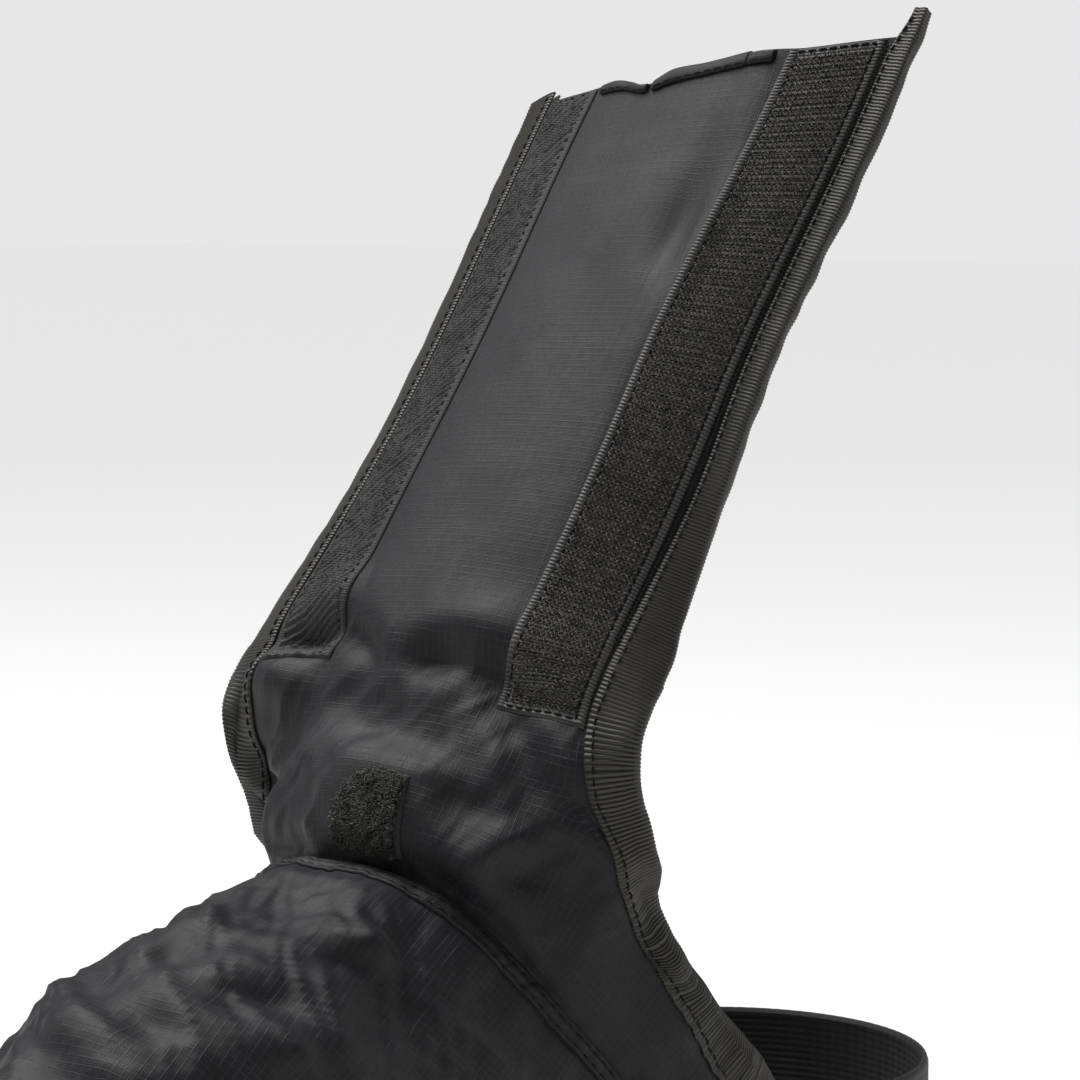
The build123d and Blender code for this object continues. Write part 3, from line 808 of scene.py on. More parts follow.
def scaled_uv(tree, x_pitch, y_pitch):
    """The two UV coordinates, in repeats of a pattern with these pitches in mm."""
    flat = add_node(tree, "TexCoord", {}, "UV")
    repeats = add_node(tree, "Mapping", {"Vector": flat, "Scale": (1000 / x_pitch, 1000 / y_pitch, 1)})
    split = add_node(tree, "SeparateXYZ", {0: repeats}).node
    return split.outputs[0], split.outputs[1]


def noise_on(tree, scale, levels=3, rough=0.55, coord="Object", stretch=(1, 1, 1)):
    place = add_node(tree, "Mapping", {"Vector": add_node(tree, "TexCoord", {}, coord), "Scale": stretch})
    return add_node(tree, "TexNoise", {"Vector": place, "Scale": scale, "Detail": levels,
                                       "Roughness": rough}, "Fac")


def ramp(tree, value, *stops):
    """Colour ramp; each stop is a place and a colour or grey level."""
    output = add_node(tree, "ValToRGB", {0: value})
    for element, (at, colour) in zip(output.node.color_ramp.elements, stops):
        element.position = at
        element.color = (*colour, 1) if isinstance(colour, tuple) else (colour,) * 3 + (1,)
    return output


def mix_colour(tree, factor, share, a, b):
    """Colour a, with a share of a factor's worth of colour b over it."""
    amount = math_node(tree, "MULTIPLY", factor, share)
    return add_node(tree, "Mix", {0: amount, 6: a, 7: (*b, 1)}, 2, data_type="RGBA")


def line_mask(tree, coordinate, width):
    """1 on a thin line at each whole number, 0 between."""
    near = math_node(tree, "PINGPONG", coordinate, 0.5)
    return add_node(tree, "MapRange", {"Value": near, "From Min": 0.0, "From Max": width, "To Min": 1.0,
                                       "To Max": 0.0}, interpolation_type="SMOOTHSTEP")


def add_bump(tree, shader, height, distance, strength, after=None):
    """Bump on a shader's normal, distance in metres; it can follow another bump."""
    inputs = {"Strength": strength, "Distance": distance, "Height": height}
    if after is not None:
        inputs["Normal"] = after
    normal = add_node(tree, "Bump", inputs)
    feed(tree, shader.inputs["Normal"], normal)
    return normal


def wave(tree, coordinate):
    """Smooth 0 to 1 wave, one repeat per unit."""
    sine = math_node(tree, "SINE", math_node(tree, "MULTIPLY", coordinate, 6.2832))
    return math_node(tree, "MULTIPLY_ADD", sine, 0.5, 0.5)


def added(tree, a, b, share):
    """a plus a share of b."""
    return math_node(tree, "ADD", a, math_node(tree, "MULTIPLY", b, share))


def ripstop_material():
    """Coated ripstop nylon: fine weave, a grid of thicker threads, faint rubs and sheen."""
    m, tree, shader = new_material("coated_ripstop", (0.03, 0.03, 0.033), 0.5, 0.025, 0.35, 0.24)
    x, y = scaled_uv(tree, 1.55, 1.5)
    grid_lines = math_node(tree, "MAXIMUM", line_mask(tree, x, 0.13), line_mask(tree, y, 0.11))
    broken = ramp(tree, noise_on(tree, 260, 2), (0.35, 0.25), (0.65, 1.0))
    grid_lines = math_node(tree, "MULTIPLY", grid_lines, broken)
    fine_x, fine_y = scaled_uv(tree, 0.34, 0.31)
    weave = math_node(tree, "MULTIPLY", wave(tree, fine_x), wave(tree, fine_y))
    slub = noise_on(tree, 900, 2, 0.5, "UV", (1, 0.12, 1))
    base = ramp(tree, noise_on(tree, 22, 4), (0.3, (0.0085, 0.0085, 0.0105)), (0.7, (0.0135, 0.0132, 0.0155)))
    base = mix_colour(tree, slub, 0.35, base, (0.018, 0.0175, 0.020))
    base = mix_colour(tree, grid_lines, 0.34, base, (0.050, 0.049, 0.055))
    feed(tree, shader.inputs["Base Color"], base)
    feed(tree, shader.inputs["Roughness"], ramp(tree, noise_on(tree, 60, 5), (0.3, 0.44), (0.75, 0.60)))
    height = added(tree, math_node(tree, "MULTIPLY", grid_lines, 0.8), weave, 0.5)
    threads = add_bump(tree, shader, height, 0.00008, 0.8)
    add_bump(tree, shader, added(tree, noise_on(tree, 150, 4, 0.6), slub, 0.4), 0.0004, 0.35, threads)
    return m


def ribbed_material(name, valley_shade, lit_crest, pitch, roughness, sheen=0.1, along="x", depth=0.00006):
    """Ribbed ribbon or webbing: painted shade in the rib valleys, a painted highlight on the crests, thread
    noise.
    """
    m, tree, shader = new_material(name, lit_crest, roughness, sheen)
    x, y = scaled_uv(tree, pitch, pitch)
    rib = wave(tree, math_node(tree, "ADD", x if along == "x" else y, 0.25))
    cross_x, cross_y = scaled_uv(tree, 0.28, 0.28)
    thread = wave(tree, cross_y if along == "x" else cross_x)
    # Painted light: the valley colour is painted shade and the crest colour a painted highlight, following
    # the ribs.
    base = ramp(tree, rib, (0.15, valley_shade), (0.8, lit_crest))
    base = mix_colour(tree, noise_on(tree, 700, 3), 0.5, base, tuple(c * 0.45 for c in lit_crest))
    wear = ramp(tree, noise_on(tree, 90, 4), (0.45, 0.0), (0.8, 1.0))
    base = mix_colour(tree, wear, 0.35, base, tuple(min(c * 1.7, 1) for c in lit_crest))
    feed(tree, shader.inputs["Base Color"], base)
    add_bump(tree, shader, added(tree, rib, thread, 0.3), depth, 0.8)
    return m


def toned_material(name, dark, light, roughness, sheen=0.15, scale=500, levels=2, tone_rough=0.6,
                   high=0.7, grain=(4000, 2, 0.00002, 0.5), specular=0.5):
    """Fibres or moulding that vary a little in tone, with a fine grain."""
    m, tree, shader = new_material(name, light, roughness, sheen, specular=specular)
    tone = ramp(tree, noise_on(tree, scale, levels, tone_rough), (0.3, dark), (high, light))
    feed(tree, shader.inputs["Base Color"], tone)
    size, grain_levels, depth, strength = grain
    add_bump(tree, shader, noise_on(tree, size, grain_levels), depth, strength)
    return m


def plastic_material():
    """Moulded acetal: fine spark texture and faint mould flow."""
    m = toned_material("moulded_plastic", (0.014, 0.014, 0.015), (0.032, 0.031, 0.031), 0.42, 0.0, 120, 4,
                       0.55, 0.75, (2500, 3, 0.00004, 0.6))
    gloss = ramp(m.node_tree, noise_on(m.node_tree, 300, 3), (0.3, 0.36), (0.7, 0.55))
    feed(m.node_tree, m.node_tree.nodes["Principled BSDF"].inputs["Roughness"], gloss)
    return m


RIPSTOP = ripstop_material()
# Ribbed tapes: the first colour is painted shade in the rib valleys, the second a painted highlight on the
# crests.
GROSGRAIN = ribbed_material("grosgrain", (0.0012, 0.0012, 0.001), (0.036, 0.0315, 0.0225), RIB, 0.42, 0.03)
SELVAGE = ribbed_material("hook_tape_base", (0.002, 0.002, 0.002), (0.060, 0.055, 0.050), RIB, 0.45, 0.03)
LOOP_BASE = ribbed_material("loop_tape_base", (0.0035, 0.003, 0.0035), (0.015, 0.012, 0.014), 0.5, 0.65, 0.08)
HOOKS = toned_material("hook_filament", (0.004, 0.0038, 0.0036), (0.150, 0.137, 0.127), 0.28, 0.0)
PILE = toned_material("loop_pile", (0.004, 0.0034, 0.004), (0.020, 0.016, 0.019), 0.6, 0.08)
PATCH_PILE = toned_material("patch_pile", (0.0012, 0.0014, 0.0012), (0.080, 0.080, 0.066), 0.40, 0.02)
THREAD = toned_material("thread", (0.0015, 0.0015, 0.0015), (0.007, 0.0066, 0.006), 0.6, 0.0, 900,
                        specular=0.2)
WEBBING = ribbed_material("nylon_webbing", (0.0025, 0.0025, 0.0025), (0.015, 0.0145, 0.0145), 1.1, 0.45,
                          0.03, depth=0.00012)
ELASTIC = ribbed_material("ribbed_elastic", (0.0025, 0.0025, 0.0025), (0.013, 0.0125, 0.0125), 1.5, 0.55,
                          0.04, "y", 0.0002)
PLASTIC = plastic_material()


cells_u, cells_a = np.mgrid[:fine_rows - 1, :fine_cols - 1]
low_col, high_col = (round((1 + sign * SPLIT) / 2 * (fine_cols - 1)) for sign in (-1, 1))
is_vamp, is_panel = cells_u < first_upper, cells_u >= first_flap
is_hook_flap, is_loop_flap = is_panel & (cells_a >= high_col), is_panel & (cells_a < low_col)
vamp_uv = np.concatenate([FINE_FLAT_VAMP, FINE_FLAT_UPPER[1:]])
upper_uv = np.concatenate([FINE_FLAT_VAMP[:-1], FINE_FLAT_UPPER])

# Each cloth piece: its cells, what carries it, the CAD node it replaces, and what it rests on.
CLOTH_PIECES = {
    "vamp_cloth": (is_vamp, ride_on("foot_cover"), "vamp_panel", "hem_binding_tape"),
    "ankle_cloth": (~is_vamp & ~is_panel, bend_ankle, "ankle_panel", "vamp_cloth"),
    "shin_cloth": (is_panel & ~is_hook_flap & ~is_loop_flap, bend_ankle, "shin_panel", "ankle_cloth"),
    "hook_flap": (is_hook_flap, bend_flap[HOOK_SIDE], "hook_edge_cloth", "shin_cloth"),
    "loop_flap": (is_loop_flap, bend_flap[LOOP_SIDE], "loop_edge_cloth", "shin_cloth")}
for cloth_name, (cells, carry_cloth, cad_node, rests) in CLOTH_PIECES.items():
    on_vamp = cloth_name == "vamp_cloth"
    cloth = cloth_object(cloth_name, CLOTH, cells, vamp_uv if on_vamp else upper_uv)
    dress(cloth, RIPSTOP, carry_cloth, cad_node)

# ---------- bindings
BINDING_WIDTH = 11.0       # mm of each leaf
HOOK_NARROWING = 6.0       # how much the hook side's leaf narrows up the panel
REAR_START = 0.05          # row place of the rear bindings' lower ends
STITCH_LIFT = 1.26


def bind(name, u, a, heading, widths, carry, replaced, leaves=(("front", 1), ("back", -1)), **look):
    """Grosgrain folded over a cloth edge and sewn through its leaves."""
    tape, seam = folded_tape(name + "_tape", u, a, heading, widths, **look)
    dress(tape, GROSGRAIN, carry, replaced)
    for leaf, face in leaves:
        sew(f"{name}_{leaf}_stitches", carry, *seam, STITCH_LIFT, face=face)


def hook_leaf(u):
    """Width of the hook side binding's leaf up the panel, mm."""
    return BINDING_WIDTH - HOOK_NARROWING * smooth(u, 1.08, 1.45)


def panel_binding(side, part, high, seed):
    """Grosgrain up the free edge of one flap; on the hook side its upper end is cut to a point."""
    u, a, _ = even_path(np.linspace(FLAP_U, high, 400), np.full(400, float(side)), STEP)
    widths, look = BINDING_WIDTH, {}
    if side == HOOK_SIDE:
        widths = hook_leaf(u) - 2.2 * smooth(u, 1.95, high)
        look = {"wave": 0.45, "crown": smooth(u, 1.15, 1.5)}
    name = part + "_edge_binding"
    bind(name, u, a, edge_frame(u, a, side)[1], widths, bend_flap[side], name, seed=seed, **look)


def rear_binding(side, part, seed):
    """Grosgrain from the rear lower corner up past the ankle fold."""
    u, a, _ = even_path(np.linspace(REAR_START, FLAP_U, 600), np.full(600, float(side)), STEP)
    widths = np.minimum(BINDING_WIDTH, 3.0 + 120.0 * (u - REAR_START))
    bind(part + "_rear_binding", u, a, edge_frame(u, a, side, 0.01)[1], widths, bend_ankle,
         part + "_side_rear_binding", seed=seed, wave=0.35)


def hem_binding():
    """Grosgrain along the lower edge, from one rear corner round the toe to the other."""
    side_rows = np.linspace(-0.02, -1, 500)
    across = np.linspace(1, -1, 500)
    rows = np.concatenate([side_rows, np.full(498, -1.0), side_rows[::-1]])
    cols = np.concatenate([np.ones(500), across[1:-1], -np.ones(500)])
    u, a, _ = even_path(rows, cols, STEP * 1.25)
    from_corner = (TRIM.at(0.0, 1.0)[1] - TRIM.at(u, a)[:, 1]) / MM
    widths = np.clip(1.05 * from_corner - 1.2, 1.5, BINDING_WIDTH)
    heading = np.broadcast_to(np.array([0.0, 0.0, 1.0]), (len(u), 3))
    bind("hem_binding", u, a, heading, widths, ride_on("foot_cover"), "hem_binding", (("front", 1),), seed=5)


# A picot: mm along the edge, out from it and above the cloth.
PICOT = [(-0.42, -0.1, 0.75), (-0.46, 0.55, 1.05), (0.0, 1.05, 1.15), (0.46, 0.55, 1.05), (0.42, -0.1, 0.75)]


def picot_edge():
    """Looped thread edge standing beside the inner side of the hook side binding."""
    u, a, _ = even_path(np.linspace(FLAP_U + 0.03, 1.97, 400), np.full(400, 1.0), 1.15 * MM)
    rise, heading = edge_frame(u, a, HOOK_SIDE)
    reach = hook_leaf(u) * MM
    us, all_a = march(u, a, heading, [reach * 0, reach * 0.97, reach + 1.0 * MM])
    base, tip = TRIM.at(us[:, 1], all_a[:, 1]), TRIM.at(us[:, 2], all_a[:, 2])
    normal, out = TRIM.normal(us[:, 1], all_a[:, 1]), unit(tip - base)
    stations = [base + (rise * x + out * y + normal * z) * MM for x, y, z in PICOT]
    picots = tubes("hook_edge_picots", np.stack(stations, 1), normal, 0.17 * MM, 5)
    dress(picots, THREAD, bend_flap[HOOK_SIDE])


picot_edge()
panel_binding(HOOK_SIDE, "hook", 2.035, 1)
panel_binding(LOOP_SIDE, "loop", 2.006, 2)
rear_binding(HOOK_SIDE, "hook", 3)
rear_binding(LOOP_SIDE, "loop", 4)
hem_binding()


# ---------- hook and loop
PANEL_LENGTH = 159.0           # mm
HALF_TAPE_OUT = 0.785          # outer edge of both tapes at the fold, share of the half width
HOOK_DRIFT = 0.105             # how far the hook tape closes on the binding towards the top
TAPE_WIDTH = 20.0
SELVAGE_WIDTH = 1.7
TAPE_EDGE = [0, 0.12, 0.5, 1.1, 1.55, 1.75]        # places across the tape, mm from its inner edge
TAPE_FAR_EDGE = [18.25, 18.45, 18.9, 19.5, 19.88, 20]
STITCH_INSET, STITCH_END = 2.0, 6                  # mm from the tape's sides; stations from its ends
HOOK_ROWS_PITCH, HOOK_COLUMNS, CHAINS = 1.27, 15, 31
HOOK_LOW, HOOK_HIGH, LOOP_LOW, LOOP_HIGH = 0.02, 0.998, 0.06, 0.996
HOOK_PROFILE = [(-0.28, 0.55), (-0.34, 1.25), (-0.12, 1.72), (0.22, 1.74), (0.42, 1.42), (0.36, 1.12)]
RIDGE_TURN, RIDGE_PITCH = math.radians(36), 1.75   # slant off the tape's length; mm
RNG = np.random.default_rng(SEED)


def tape_places(side, u, across):
    """Column place at a distance across the tape from its inner edge, mm."""
    outer = HALF_TAPE_OUT + (HOOK_DRIFT * smooth(u, 1.04, 1.5) if side == HOOK_SIDE else 0.0)
    return side * (outer - (TAPE_WIDTH - across) * MM / half_length(u))


def tape_base(part, side, low, high, material, ribbed, step, relief):
    """Woven tape: ribbed selvages either side of its ground."""
    u, _, t = even_path(np.linspace(1 + low, 1 + high, 300), np.full(300, side * 0.6), STEP)
    across = np.concatenate([TAPE_EDGE, np.arange(2.2, 18.0, step), TAPE_FAR_EDGE])
    a = np.stack([tape_places(side, u, x) for x in across], 1)
    inset = np.minimum(across, TAPE_WIDTH - across)
    selvage = np.clip(inset / 0.3, 0, 1)
    is_edge = (inset < SELVAGE_WIDTH) * 1.0
    ribs = np.cos(t / (RIB * MM) * 2 * math.pi)[:, None] * ribbed * is_edge
    ends = smooth(np.minimum(t, t[-1] - t) / MM, 0.0, 0.4)[:, None]
    ground = relief(columns(t[:, None] / MM, across)) * (1 - is_edge)
    top = 0.42 + (0.42 + 0.12 * is_edge + ribs * selvage + ground) * selvage * ends
    tape = slab(part + "_tape_ground", np.broadcast_to(u[:, None], a.shape), a, top,
                columns(t[:, None], across * MM))
    dress(tape, material, bend_flap[side], part + "_tape")
    return u


def tape_stitches(part, side, u):
    """Stitch line round the tape, just inside its selvages."""
    near, far = STITCH_INSET, TAPE_WIDTH - STITCH_INSET
    up, over = u[STITCH_END:-STITCH_END], np.linspace(near, far, 40)
    top, bottom = np.full(40, u[-STITCH_END]), np.full(40, u[STITCH_END])
    rows = np.concatenate([up, top, up[::-1], bottom])
    across = np.concatenate([np.full(len(up), near), over, np.full(len(up), far), over[::-1]])
    sew(part + "_tape_stitches", bend_flap[side], rows, tape_places(side, rows, across), 0.92, 2.3, 1.9, 0.24)


def frames_at(u, a):
    """Points, normals and unit directions up the tape and across it."""
    p, n = TRIM.at(u, a), TRIM.normal(u, a)
    up = unit(TRIM.at(u + 0.01, a) - TRIM.at(u - 0.01, a))
    return p, n, up, np.cross(up, n)


def hook_field(low, high):
    """Rows of small nylon hooks, each a bent filament open at one side, and cords between the rows."""
    rows = int((high - low) * PANEL_LENGTH / HOOK_ROWS_PITCH)
    u = 1 + low + (high - low) * (np.arange(rows) + 0.5) / rows
    x = np.linspace(SELVAGE_WIDTH + 1.0, TAPE_WIDTH - SELVAGE_WIDTH - 1.0, HOOK_COLUMNS)
    uu, xx = np.meshgrid(u, x, indexing="ij")
    way = np.broadcast_to(np.where(np.arange(HOOK_COLUMNS) % 2 == 0, 1.0, -1.0), uu.shape).ravel()[:, None]
    uu = (uu + RNG.normal(0, 0.0006, uu.shape)).ravel()
    xx = (xx + RNG.normal(0, 0.07, xx.shape)).ravel()
    p, n, up, across = frames_at(uu, tape_places(HOOK_SIDE, uu, xx))
    lean = RNG.normal(0, 0.22, (len(uu), 1))
    bend = unit(up * 0.55 * way + across * (0.8 + lean))
    height = 1 + RNG.normal(0, 0.05, (len(uu), 1))
    stations = [p + bend * (x * MM) + n * (z * MM) * height for x, z in HOOK_PROFILE]
    hooks = tubes("hook_tape_hooks", np.stack(stations, 1), np.cross(bend, n), 0.135 * MM, 4)
    dress(hooks, HOOKS, bend_flap[HOOK_SIDE])

    u = 1 + low + (high - low) * (np.arange(rows) + 1.0) / rows
    x = np.linspace(SELVAGE_WIDTH + 0.3, TAPE_WIDTH - SELVAGE_WIDTH - 0.3, CHAINS)
    uu, xx = np.meshgrid(u[:-1], x, indexing="ij")
    wobble = np.where(np.arange(CHAINS) % 2 == 0, 1, -1) * 0.12 * MM
    p, n, up, across = frames_at(uu, tape_places(HOOK_SIDE, uu, xx))
    line = p + n * (0.98 * MM) + up * wobble[None, :, None]
    chains = tubes("hook_tape_chain", line, n[:, CHAINS // 2], 0.2 * MM, 4)
    dress(chains, HOOKS, bend_flap[HOOK_SIDE])


def pile_arcs(p, n, up, across, long, high, thick, seed, turn, spread):
    """Little arched fibres standing on given points, running about one way or any way."""
    rng = np.random.default_rng(seed)
    k = len(p)
    turn = turn + rng.normal(0, spread, (k, 1))
    way = up * np.cos(turn) + across * np.sin(turn)
    side_way = np.cross(way, n)
    span = rng.uniform(0.5, 1.0, (k, 1)) * long * MM
    rise = rng.uniform(0.45, 1.0, (k, 1)) * high * MM
    lean = rng.normal(0, 0.35, (k, 1)) * long * MM
    t = np.linspace(0, 1, 5)
    stations = [p + way * span * (s - 0.5) + n * (rise * math.sin(math.pi * s) - 0.05 * MM)
                + side_way * lean * math.sin(math.pi * s) for s in t]
    return np.stack(stations, 1), side_way, thick * MM


def loop_relief(places):
    """Slanted ridges of the loop pile, uneven where it has been pressed."""
    c, s = math.cos(RIDGE_TURN), math.sin(RIDGE_TURN)
    x, y = places[..., 0], places[..., 1]
    along, over = x * c + y * s, -x * s + y * c
    drift = lattice_noise(columns(along / 8, over / 11), 91)
    worn = 0.65 + 0.35 * lattice_noise(columns(along / 3.5, over / 9), 92)
    return 0.26 + 0.30 * np.sin(2 * math.pi * (along / RIDGE_PITCH + 0.8 * drift)) * worn


def loop_pile(low, high, count):
    """Short fibres lying along the ridges of the loop tape."""
    u = RNG.uniform(1 + low + 0.012, 1 + high - 0.012, count)
    x = RNG.uniform(SELVAGE_WIDTH + 0.5, TAPE_WIDTH - SELVAGE_WIDTH - 0.5, count)
    p, n, up, across = frames_at(u, tape_places(LOOP_SIDE, u, x))
    p = p + n * ((0.84 + loop_relief(columns((u - 1 - low) * PANEL_LENGTH, x))) * MM)[:, None]
    arcs, lift, thick = pile_arcs(p, n, up, across, 1.3, 0.20, 0.05, SEED + 60,
                                  math.radians(90) - RIDGE_TURN, 0.35)
    dress(tubes("loop_tape_pile", arcs, lift, thick, 3), PILE, bend_flap[LOOP_SIDE])


def no_relief(places):
    return np.zeros(places.shape[:-1])


hook_u = tape_base("hook", HOOK_SIDE, HOOK_LOW, HOOK_HIGH, SELVAGE, 0.1, 2.6, no_relief)
tape_stitches("hook", HOOK_SIDE, hook_u)
hook_field(HOOK_LOW + 0.012, HOOK_HIGH - 0.010)
loop_u = tape_base("loop", LOOP_SIDE, LOOP_LOW, LOOP_HIGH, LOOP_BASE, 0.05, 0.45, loop_relief)
tape_stitches("loop", LOOP_SIDE, loop_u)
loop_pile(LOOP_LOW, LOOP_HIGH, 4200)


# ---------- loop patch above the seam
PATCH_LOW, PATCH_HIGH, PATCH_HALF_A = 0.12, 0.66, 0.105
PATCH_WIDTH = 0.019            # metres, for its weave
PATCH_FIBRES = 4200


def patch_row(v):
    """Row place at a share v of the patch's height."""
    return PATCH_LOW + (PATCH_HIGH - PATCH_LOW) * v


def patch_edges(v):
    """Left and right column places of the patch: rounded to the loop side, straight on the other."""
    rounding = np.clip(1 - abs((v - 0.42) / 0.6) ** 2.6, 0.0, 1) ** 0.5
    return PATCH_MID_A - PATCH_HALF_A * (rounding * 1.75 - 0.75), np.full_like(v, PATCH_MID_A + PATCH_HALF_A)


def loop_patch():
    """Small patch of loop tape, its pile and one row of stitches."""
    v = np.linspace(0.01, 0.99, 70)
    left, right = patch_edges(v)
    w = np.array([0, 0.03, 0.1, 0.25, 0.4, 0.6, 0.75, 0.88, 0.92, 0.97, 1.0])
    a = left[:, None] + (right - left)[:, None] * w
    u = np.broadcast_to(patch_row(v)[:, None], a.shape)
    edge = np.minimum(np.minimum(w, 1 - w) / 0.05, 1) * np.minimum(np.minimum(v, 1 - v) / 0.04, 1)[:, None]
    uv = columns(measured(TRIM.at(u[:, 5], a[:, 5]))[:, None], w * PATCH_WIDTH)
    dress(slab("loop_patch_ground", u, a, 0.42 + 0.6 * edge, uv), LOOP_BASE, bend_ankle, "loop_patch")
    v, w = RNG.uniform(0.03, 0.97, PATCH_FIBRES), RNG.uniform(0.03, 0.91, PATCH_FIBRES)
    left, right = patch_edges(v)
    p, n, up, across = frames_at(patch_row(v), left + (right - left) * w)
    arcs, lift, thick = pile_arcs(p + n * (0.95 * MM), n, up, across, 1.7, 1.15, 0.085, SEED + 61, 0.0, 3.0)
    dress(tubes("loop_patch_pile", arcs, lift, thick, 3), PATCH_PILE, bend_ankle)
    rows, column = patch_row(np.linspace(0.03, 0.97, 40)), PATCH_MID_A + PATCH_HALF_A * 0.86
    sew("loop_patch_stitches", bend_ankle, rows, np.full(40, column), 1.04, 1.9, 1.5, 0.17)


loop_patch()


# ---------- instep seam
SEAM_REACH = 0.93
SEAM_ROW = 150.0               # mm of vamp to one unit of row place
SEAM_GROOVES = (5, 10)         # points of the section that lie in the stitched grooves
# Section: mm down from the seam, lift in mm.
SEAM_SECTION = [(0.0, 0.42), (0.1, 0.8), (0.5, 1.12), (1.0, 1.15), (1.35, 0.85), (1.75, 0.82), (2.1, 1.12),
                (2.9, 1.3), (3.7, 1.15), (4.1, 0.85), (4.5, 0.82), (4.85, 1.05), (5.3, 0.98), (5.55, 0.7),
                (5.6, 0.42)]


def instep_seam():
    """Felled seam: a puckered double ridge with two stitched grooves."""
    _, a, t = even_path(np.full(800, -0.02), np.linspace(-SEAM_REACH, SEAM_REACH, 800), 0.45 * MM)
    down, lift = np.array(SEAM_SECTION).T
    taper = smooth(SEAM_REACH - abs(a), 0.0, 0.06)[:, None]

    def ripple(length, lane, seed, height):
        return lattice_noise(columns(t / (length * MM), lane), seed)[:, None] * height

    pucker = (ripple(4.4, 0, 33, 0.22) + ripple(1.9, 4, 34, 0.10)) * 1.5
    top = SLAB_BOTTOM + (lift - SLAB_BOTTOM) * (1 + pucker) * (0.35 + 0.65 * taper)
    u = -(0.5 + down * (0.6 + 0.4 * taper) + ripple(16, 8, 35, 0.3)) / SEAM_ROW
    ridge = slab("instep_seam_ridge", u, np.broadcast_to(a[:, None], u.shape), top,
                 columns(t[:, None], down * MM))
    dress(ridge, RIPSTOP, ride_on("foot_cover"), "instep_seam")
    for k, groove in enumerate(SEAM_GROOVES):
        sew(f"instep_seam_stitches_{k + 1}", ride_on("foot_cover"), u[:, groove], a, 0.86, 3.0, 2.4, 0.24)


instep_seam()


# ---------- top edge
def top_roll(name, low, high, width, carry, seed, replaced=None):
    """Turned hem along part of the top edge."""
    u, a, _ = even_path(np.full(200, 1.995), np.linspace(low, high, 200), 0.5 * MM)
    heading = np.broadcast_to(-PANEL_RISE, (len(u), 3))
    roll, seam = folded_tape(name, u, a, heading, width, rib=0.0, wave=0.45, seed=seed)
    dress(roll, RIPSTOP, carry, replaced)
    sew(name + "_stitches", carry, *seam, 1.3, 2.8, 2.2, 0.16)


top_roll("top_hem_roll", -0.07, SPLIT - 0.003, 2.6, ride_on("shin"), 11, "top_hem")
top_roll("top_hem_turn", -SPLIT + 0.003, -0.10, 1.8, ride_on("shin"), 12)
top_roll("hook_flap_roll", SPLIT + 0.003, 0.50, 2.6, bend_flap[HOOK_SIDE], 13)


# ---------- straps and lock
STRAP_HALF, STRAP_COLUMNS = 10.0, 25
STRAP_SMOOTHING = 6
WEAVE_HEIGHT, WEAVE_PITCH = 0.07, 1.1


def webbing(name, path, thickness):
    """Flat webbing carried along a path in the XZ plane, mm; its weave stands in low ribs."""
    path = np.array(path, float)
    s = measured(path)
    t = np.arange(0, s[-1], 0.28)
    p = np.stack([np.interp(t, s, path[:, 0]), np.interp(t, s, path[:, 1])], 1)
    for _ in range(STRAP_SMOOTHING):
        p[1:-1] = (p[:-2] + 2 * p[1:-1] + p[2:]) / 4
    d = unit(np.gradient(p, axis=0))
    across = np.linspace(-STRAP_HALF, STRAP_HALF, STRAP_COLUMNS)
    y = np.concatenate([across, across[::-1]])
    edge = np.sqrt(np.clip((STRAP_HALF - abs(y)) / 1.2, 0, 1)) * 0.75 + 0.25
    sign = np.repeat([1.0, -1.0], STRAP_COLUMNS)
    phase = (np.arange(2 * STRAP_COLUMNS) % 2) * math.pi
    weave = WEAVE_HEIGHT * np.cos(t[:, None] / WEAVE_PITCH * 2 * math.pi + phase)
    off = sign * (thickness / 2 * edge) + weave * sign * edge
    rings = columns(p[:, :1] - d[:, 1:] * off, y, p[:, 1:] + d[:, :1] * off)
    return lattice(name, rings * MM, columns(t[:, None] * MM, y * MM))


def arc(cx, cz, radius, start, stop, count=14):
    turn = np.radians(np.linspace(start, stop, count))
    return [(cx + radius * math.cos(a), cz + radius * math.sin(a)) for a in turn]


def straps():
    """Underfoot webbing with its wrap round the lock bar, the free tail, and the top anchor."""
    x, low, bend = 54.1, 3.95, 3.2
    path = [(-x, 40), (-x, 3.9)] + arc(-x + bend, low, bend, 180, 270) + arc(x - bend, low, bend, 270, 360)
    path += [(x, 8), (x, 39.5)] + arc(56.35, 41.2, 2.35, 170, 0) + [(58.7, 38), (58.75, 30)]
    to_lock = bend_between()
    dress(webbing("underfoot_webbing", path, 1.3), WEBBING, to_lock, "underfoot_strap")
    tail = [(59.9, 41), (59.95, 14.9), (60.3, 14.4), (60.7, 14.9), (60.75, 22)]
    dress(webbing("strap_tail_webbing", tail, 0.9), WEBBING, ride_on("tail"), "strap_tail")
    loop = [(54.4, 60.6), (54.75, 52)] + arc(56.7, 50, 2.15, 150, 390, 20) + [(56.9, 54.5), (55.0, 61.0)]
    dress(webbing("anchor_webbing", loop, 0.8), WEBBING, ride_on("foot_cover"), "buckle_anchor_tab")


TACK_HALF, TACK_POINTS, TACK_SWING = 7.5, 26, 0.7


def bar_tacks(name, x, heights):
    """Dense zigzags of thread across the strap, one at each height, mm."""
    y = np.linspace(-TACK_HALF, TACK_HALF, TACK_POINTS)
    t = np.linspace(0, 1, 4)
    lines = []
    for z in heights:
        for k in range(TACK_POINTS - 1):
            swing = (TACK_SWING if k % 2 else -TACK_SWING) * (1 - 2 * t)
            lines.append(columns(x, y[k] + (y[k + 1] - y[k]) * t, z + swing))
    up = np.broadcast_to(np.array([math.copysign(1, x), 0.0, 0.0]), (len(lines), 3))
    tacks = tubes(name, np.array(lines) * MM, up, 0.24 * MM, 5)
    dress(tacks, THREAD, ride_on("foot_cover"), "strap_bar_tacks")


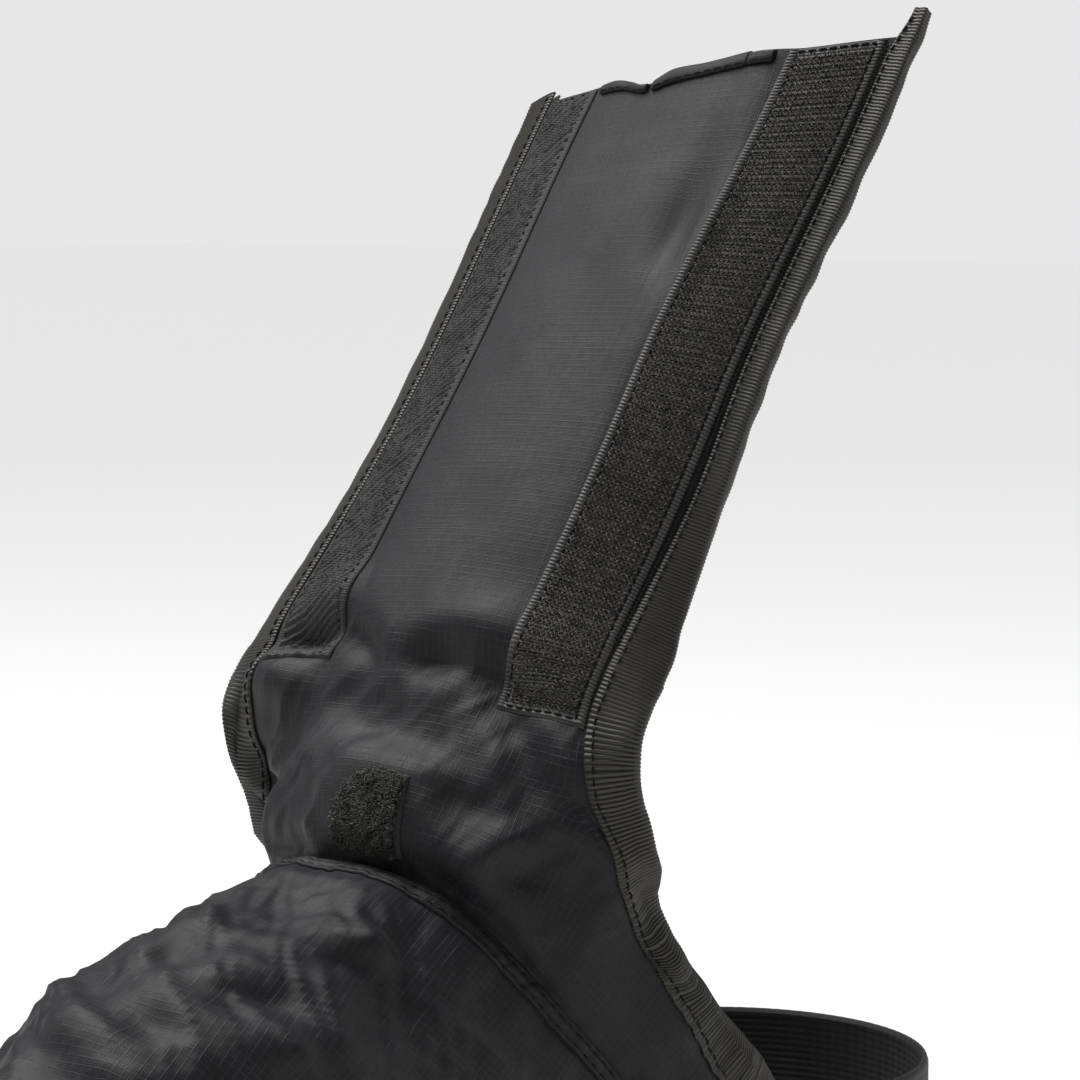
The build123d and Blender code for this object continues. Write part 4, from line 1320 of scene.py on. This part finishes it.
def heel_elastic():
    """Ribbed elastic band round the heel, its ends cut on a slant."""
    radius, thick, low, high, rib = 46.2, 1.5, 40.0, 76.0, 1.5
    stations, ripples, slant = 261, 90, 20.0 / 42.0
    middle, front = 135.0 - 47.0 + SHIFT_Y, 39.5 + SHIFT_Y
    z = np.linspace(low, high, 73)
    start = front - (z - (low + high) / 2) * slant
    rim = np.minimum(np.minimum(z - low, high - z) / 1.2, 1)
    half = thick / 2 * (0.45 + 0.55 * np.sqrt(rim)) + 0.16 * np.cos((z - low) / rib * 2 * math.pi) * rim
    z_ring, start_ring = np.concatenate([z, z[::-1]]), np.concatenate([start, start[::-1]])
    half_ring = np.concatenate([half, -half[::-1]])
    quarter = radius * math.pi / 2
    rings = []
    for k, t in enumerate(np.linspace(-1, 1, stations)):
        s = abs(t) * (middle - start_ring + quarter)
        on_arc = s < quarter
        r = radius + half_ring + 0.10 * math.cos(k / stations * 2 * math.pi * ripples)
        x = math.copysign(1, t) * np.where(on_arc, np.sin(s / radius), 1.0) * r
        y = np.where(on_arc, middle + np.cos(s / radius) * r, middle - (s - quarter))
        rings.append(columns(x, y, z_ring))
    rings = np.array(rings)
    uv = columns(measured(rings[:, 36])[:, None] * MM, z_ring * MM)
    dress(lattice("heel_elastic", rings * MM, uv), ELASTIC, ride_on("heel_band"), "heel_strap")


straps()
bar_tacks("strap_end_tacks", -54.9, (35.0, 38.5))
heel_elastic()
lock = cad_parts["ladder_lock"]
lock.data.materials.clear()
lock.data.materials.append(PLASTIC)


# ---------- floor, light, camera
TARGET = (0.0, 0.001, 0.199)
WORLD_LIGHT, WORLD_SEEN = 0.10, 0.86       # how the surroundings light the part, and how they look
CAMERA_AZIMUTH, CAMERA_ELEVATION, CAMERA_DISTANCE = math.radians(40), math.radians(6), 0.866
FLOOR_HALF = 6


def add_aimed(name, data, place):
    """A light or the camera, turned to the target."""
    obj = add_object(name, data, place)
    obj.rotation_mode = "QUATERNION"
    obj.rotation_quaternion = (Vector(TARGET) - obj.location).to_track_quat("-Z", "Y")
    return obj


sun = bpy.data.lights.new("overhead_sun", "SUN")
sun.energy, sun.angle = 3.0, math.radians(45)
add_aimed("overhead_sun", sun, (-0.35, -0.15, 1.5))
for light_name, place, size, power in (("overhead_softbox", (-0.70, -0.05, 1.22), 0.9, 8),
                                       ("left_softbox", (-1.30, -0.45, 0.75), 0.6, 1.5),
                                       ("camera_fill", (1.10, -1.20, 0.45), 0.9, 0.5),
                                       ("rear_softbox", (0.75, 1.20, 0.70), 0.7, 3)):
    softbox = bpy.data.lights.new(light_name, "AREA")
    softbox.shape, softbox.size, softbox.energy = "SQUARE", size, power
    add_aimed(light_name, softbox, place)

floor_mesh = bpy.data.meshes.new("floor")
floor_corners = [(-1, -1, 0), (1, -1, 0), (1, 1, 0), (-1, 1, 0)]
floor_mesh.from_pydata([(x * FLOOR_HALF, y * FLOOR_HALF, z) for x, y, z in floor_corners], [], [(0, 1, 2, 3)])
floor_mesh.materials.append(new_material("floor_paint", (0.82, 0.82, 0.82), 0.8)[0])
add_object("floor", floor_mesh)

world = bpy.data.worlds.new("studio")
world.use_nodes = True
bpy.context.scene.world = world
sky = world.node_tree
lit = sky.nodes["Background"]
lit.inputs["Color"].default_value = (0.9, 0.91, 0.93, 1)
lit.inputs["Strength"].default_value = WORLD_LIGHT
seen = add_node(sky, "Background", {"Color": (0.93, 0.93, 0.94, 1), "Strength": WORLD_SEEN})
to_camera = add_node(sky, "LightPath", {}, "Is Camera Ray")
feed(sky, sky.nodes["World Output"].inputs[0],
     add_node(sky, "MixShader", {0: to_camera, 1: lit.outputs[0], 2: seen}))
bpy.context.scene.view_settings.view_transform = "Standard"

lens = bpy.data.cameras.new("camera")
lens.lens, lens.sensor_width = 135, 36
back = Vector((math.sin(CAMERA_AZIMUTH) * math.cos(CAMERA_ELEVATION),
               -math.cos(CAMERA_AZIMUTH) * math.cos(CAMERA_ELEVATION), math.sin(CAMERA_ELEVATION)))
bpy.context.scene.camera = add_aimed("camera", lens, Vector(TARGET) + back * CAMERA_DISTANCE)
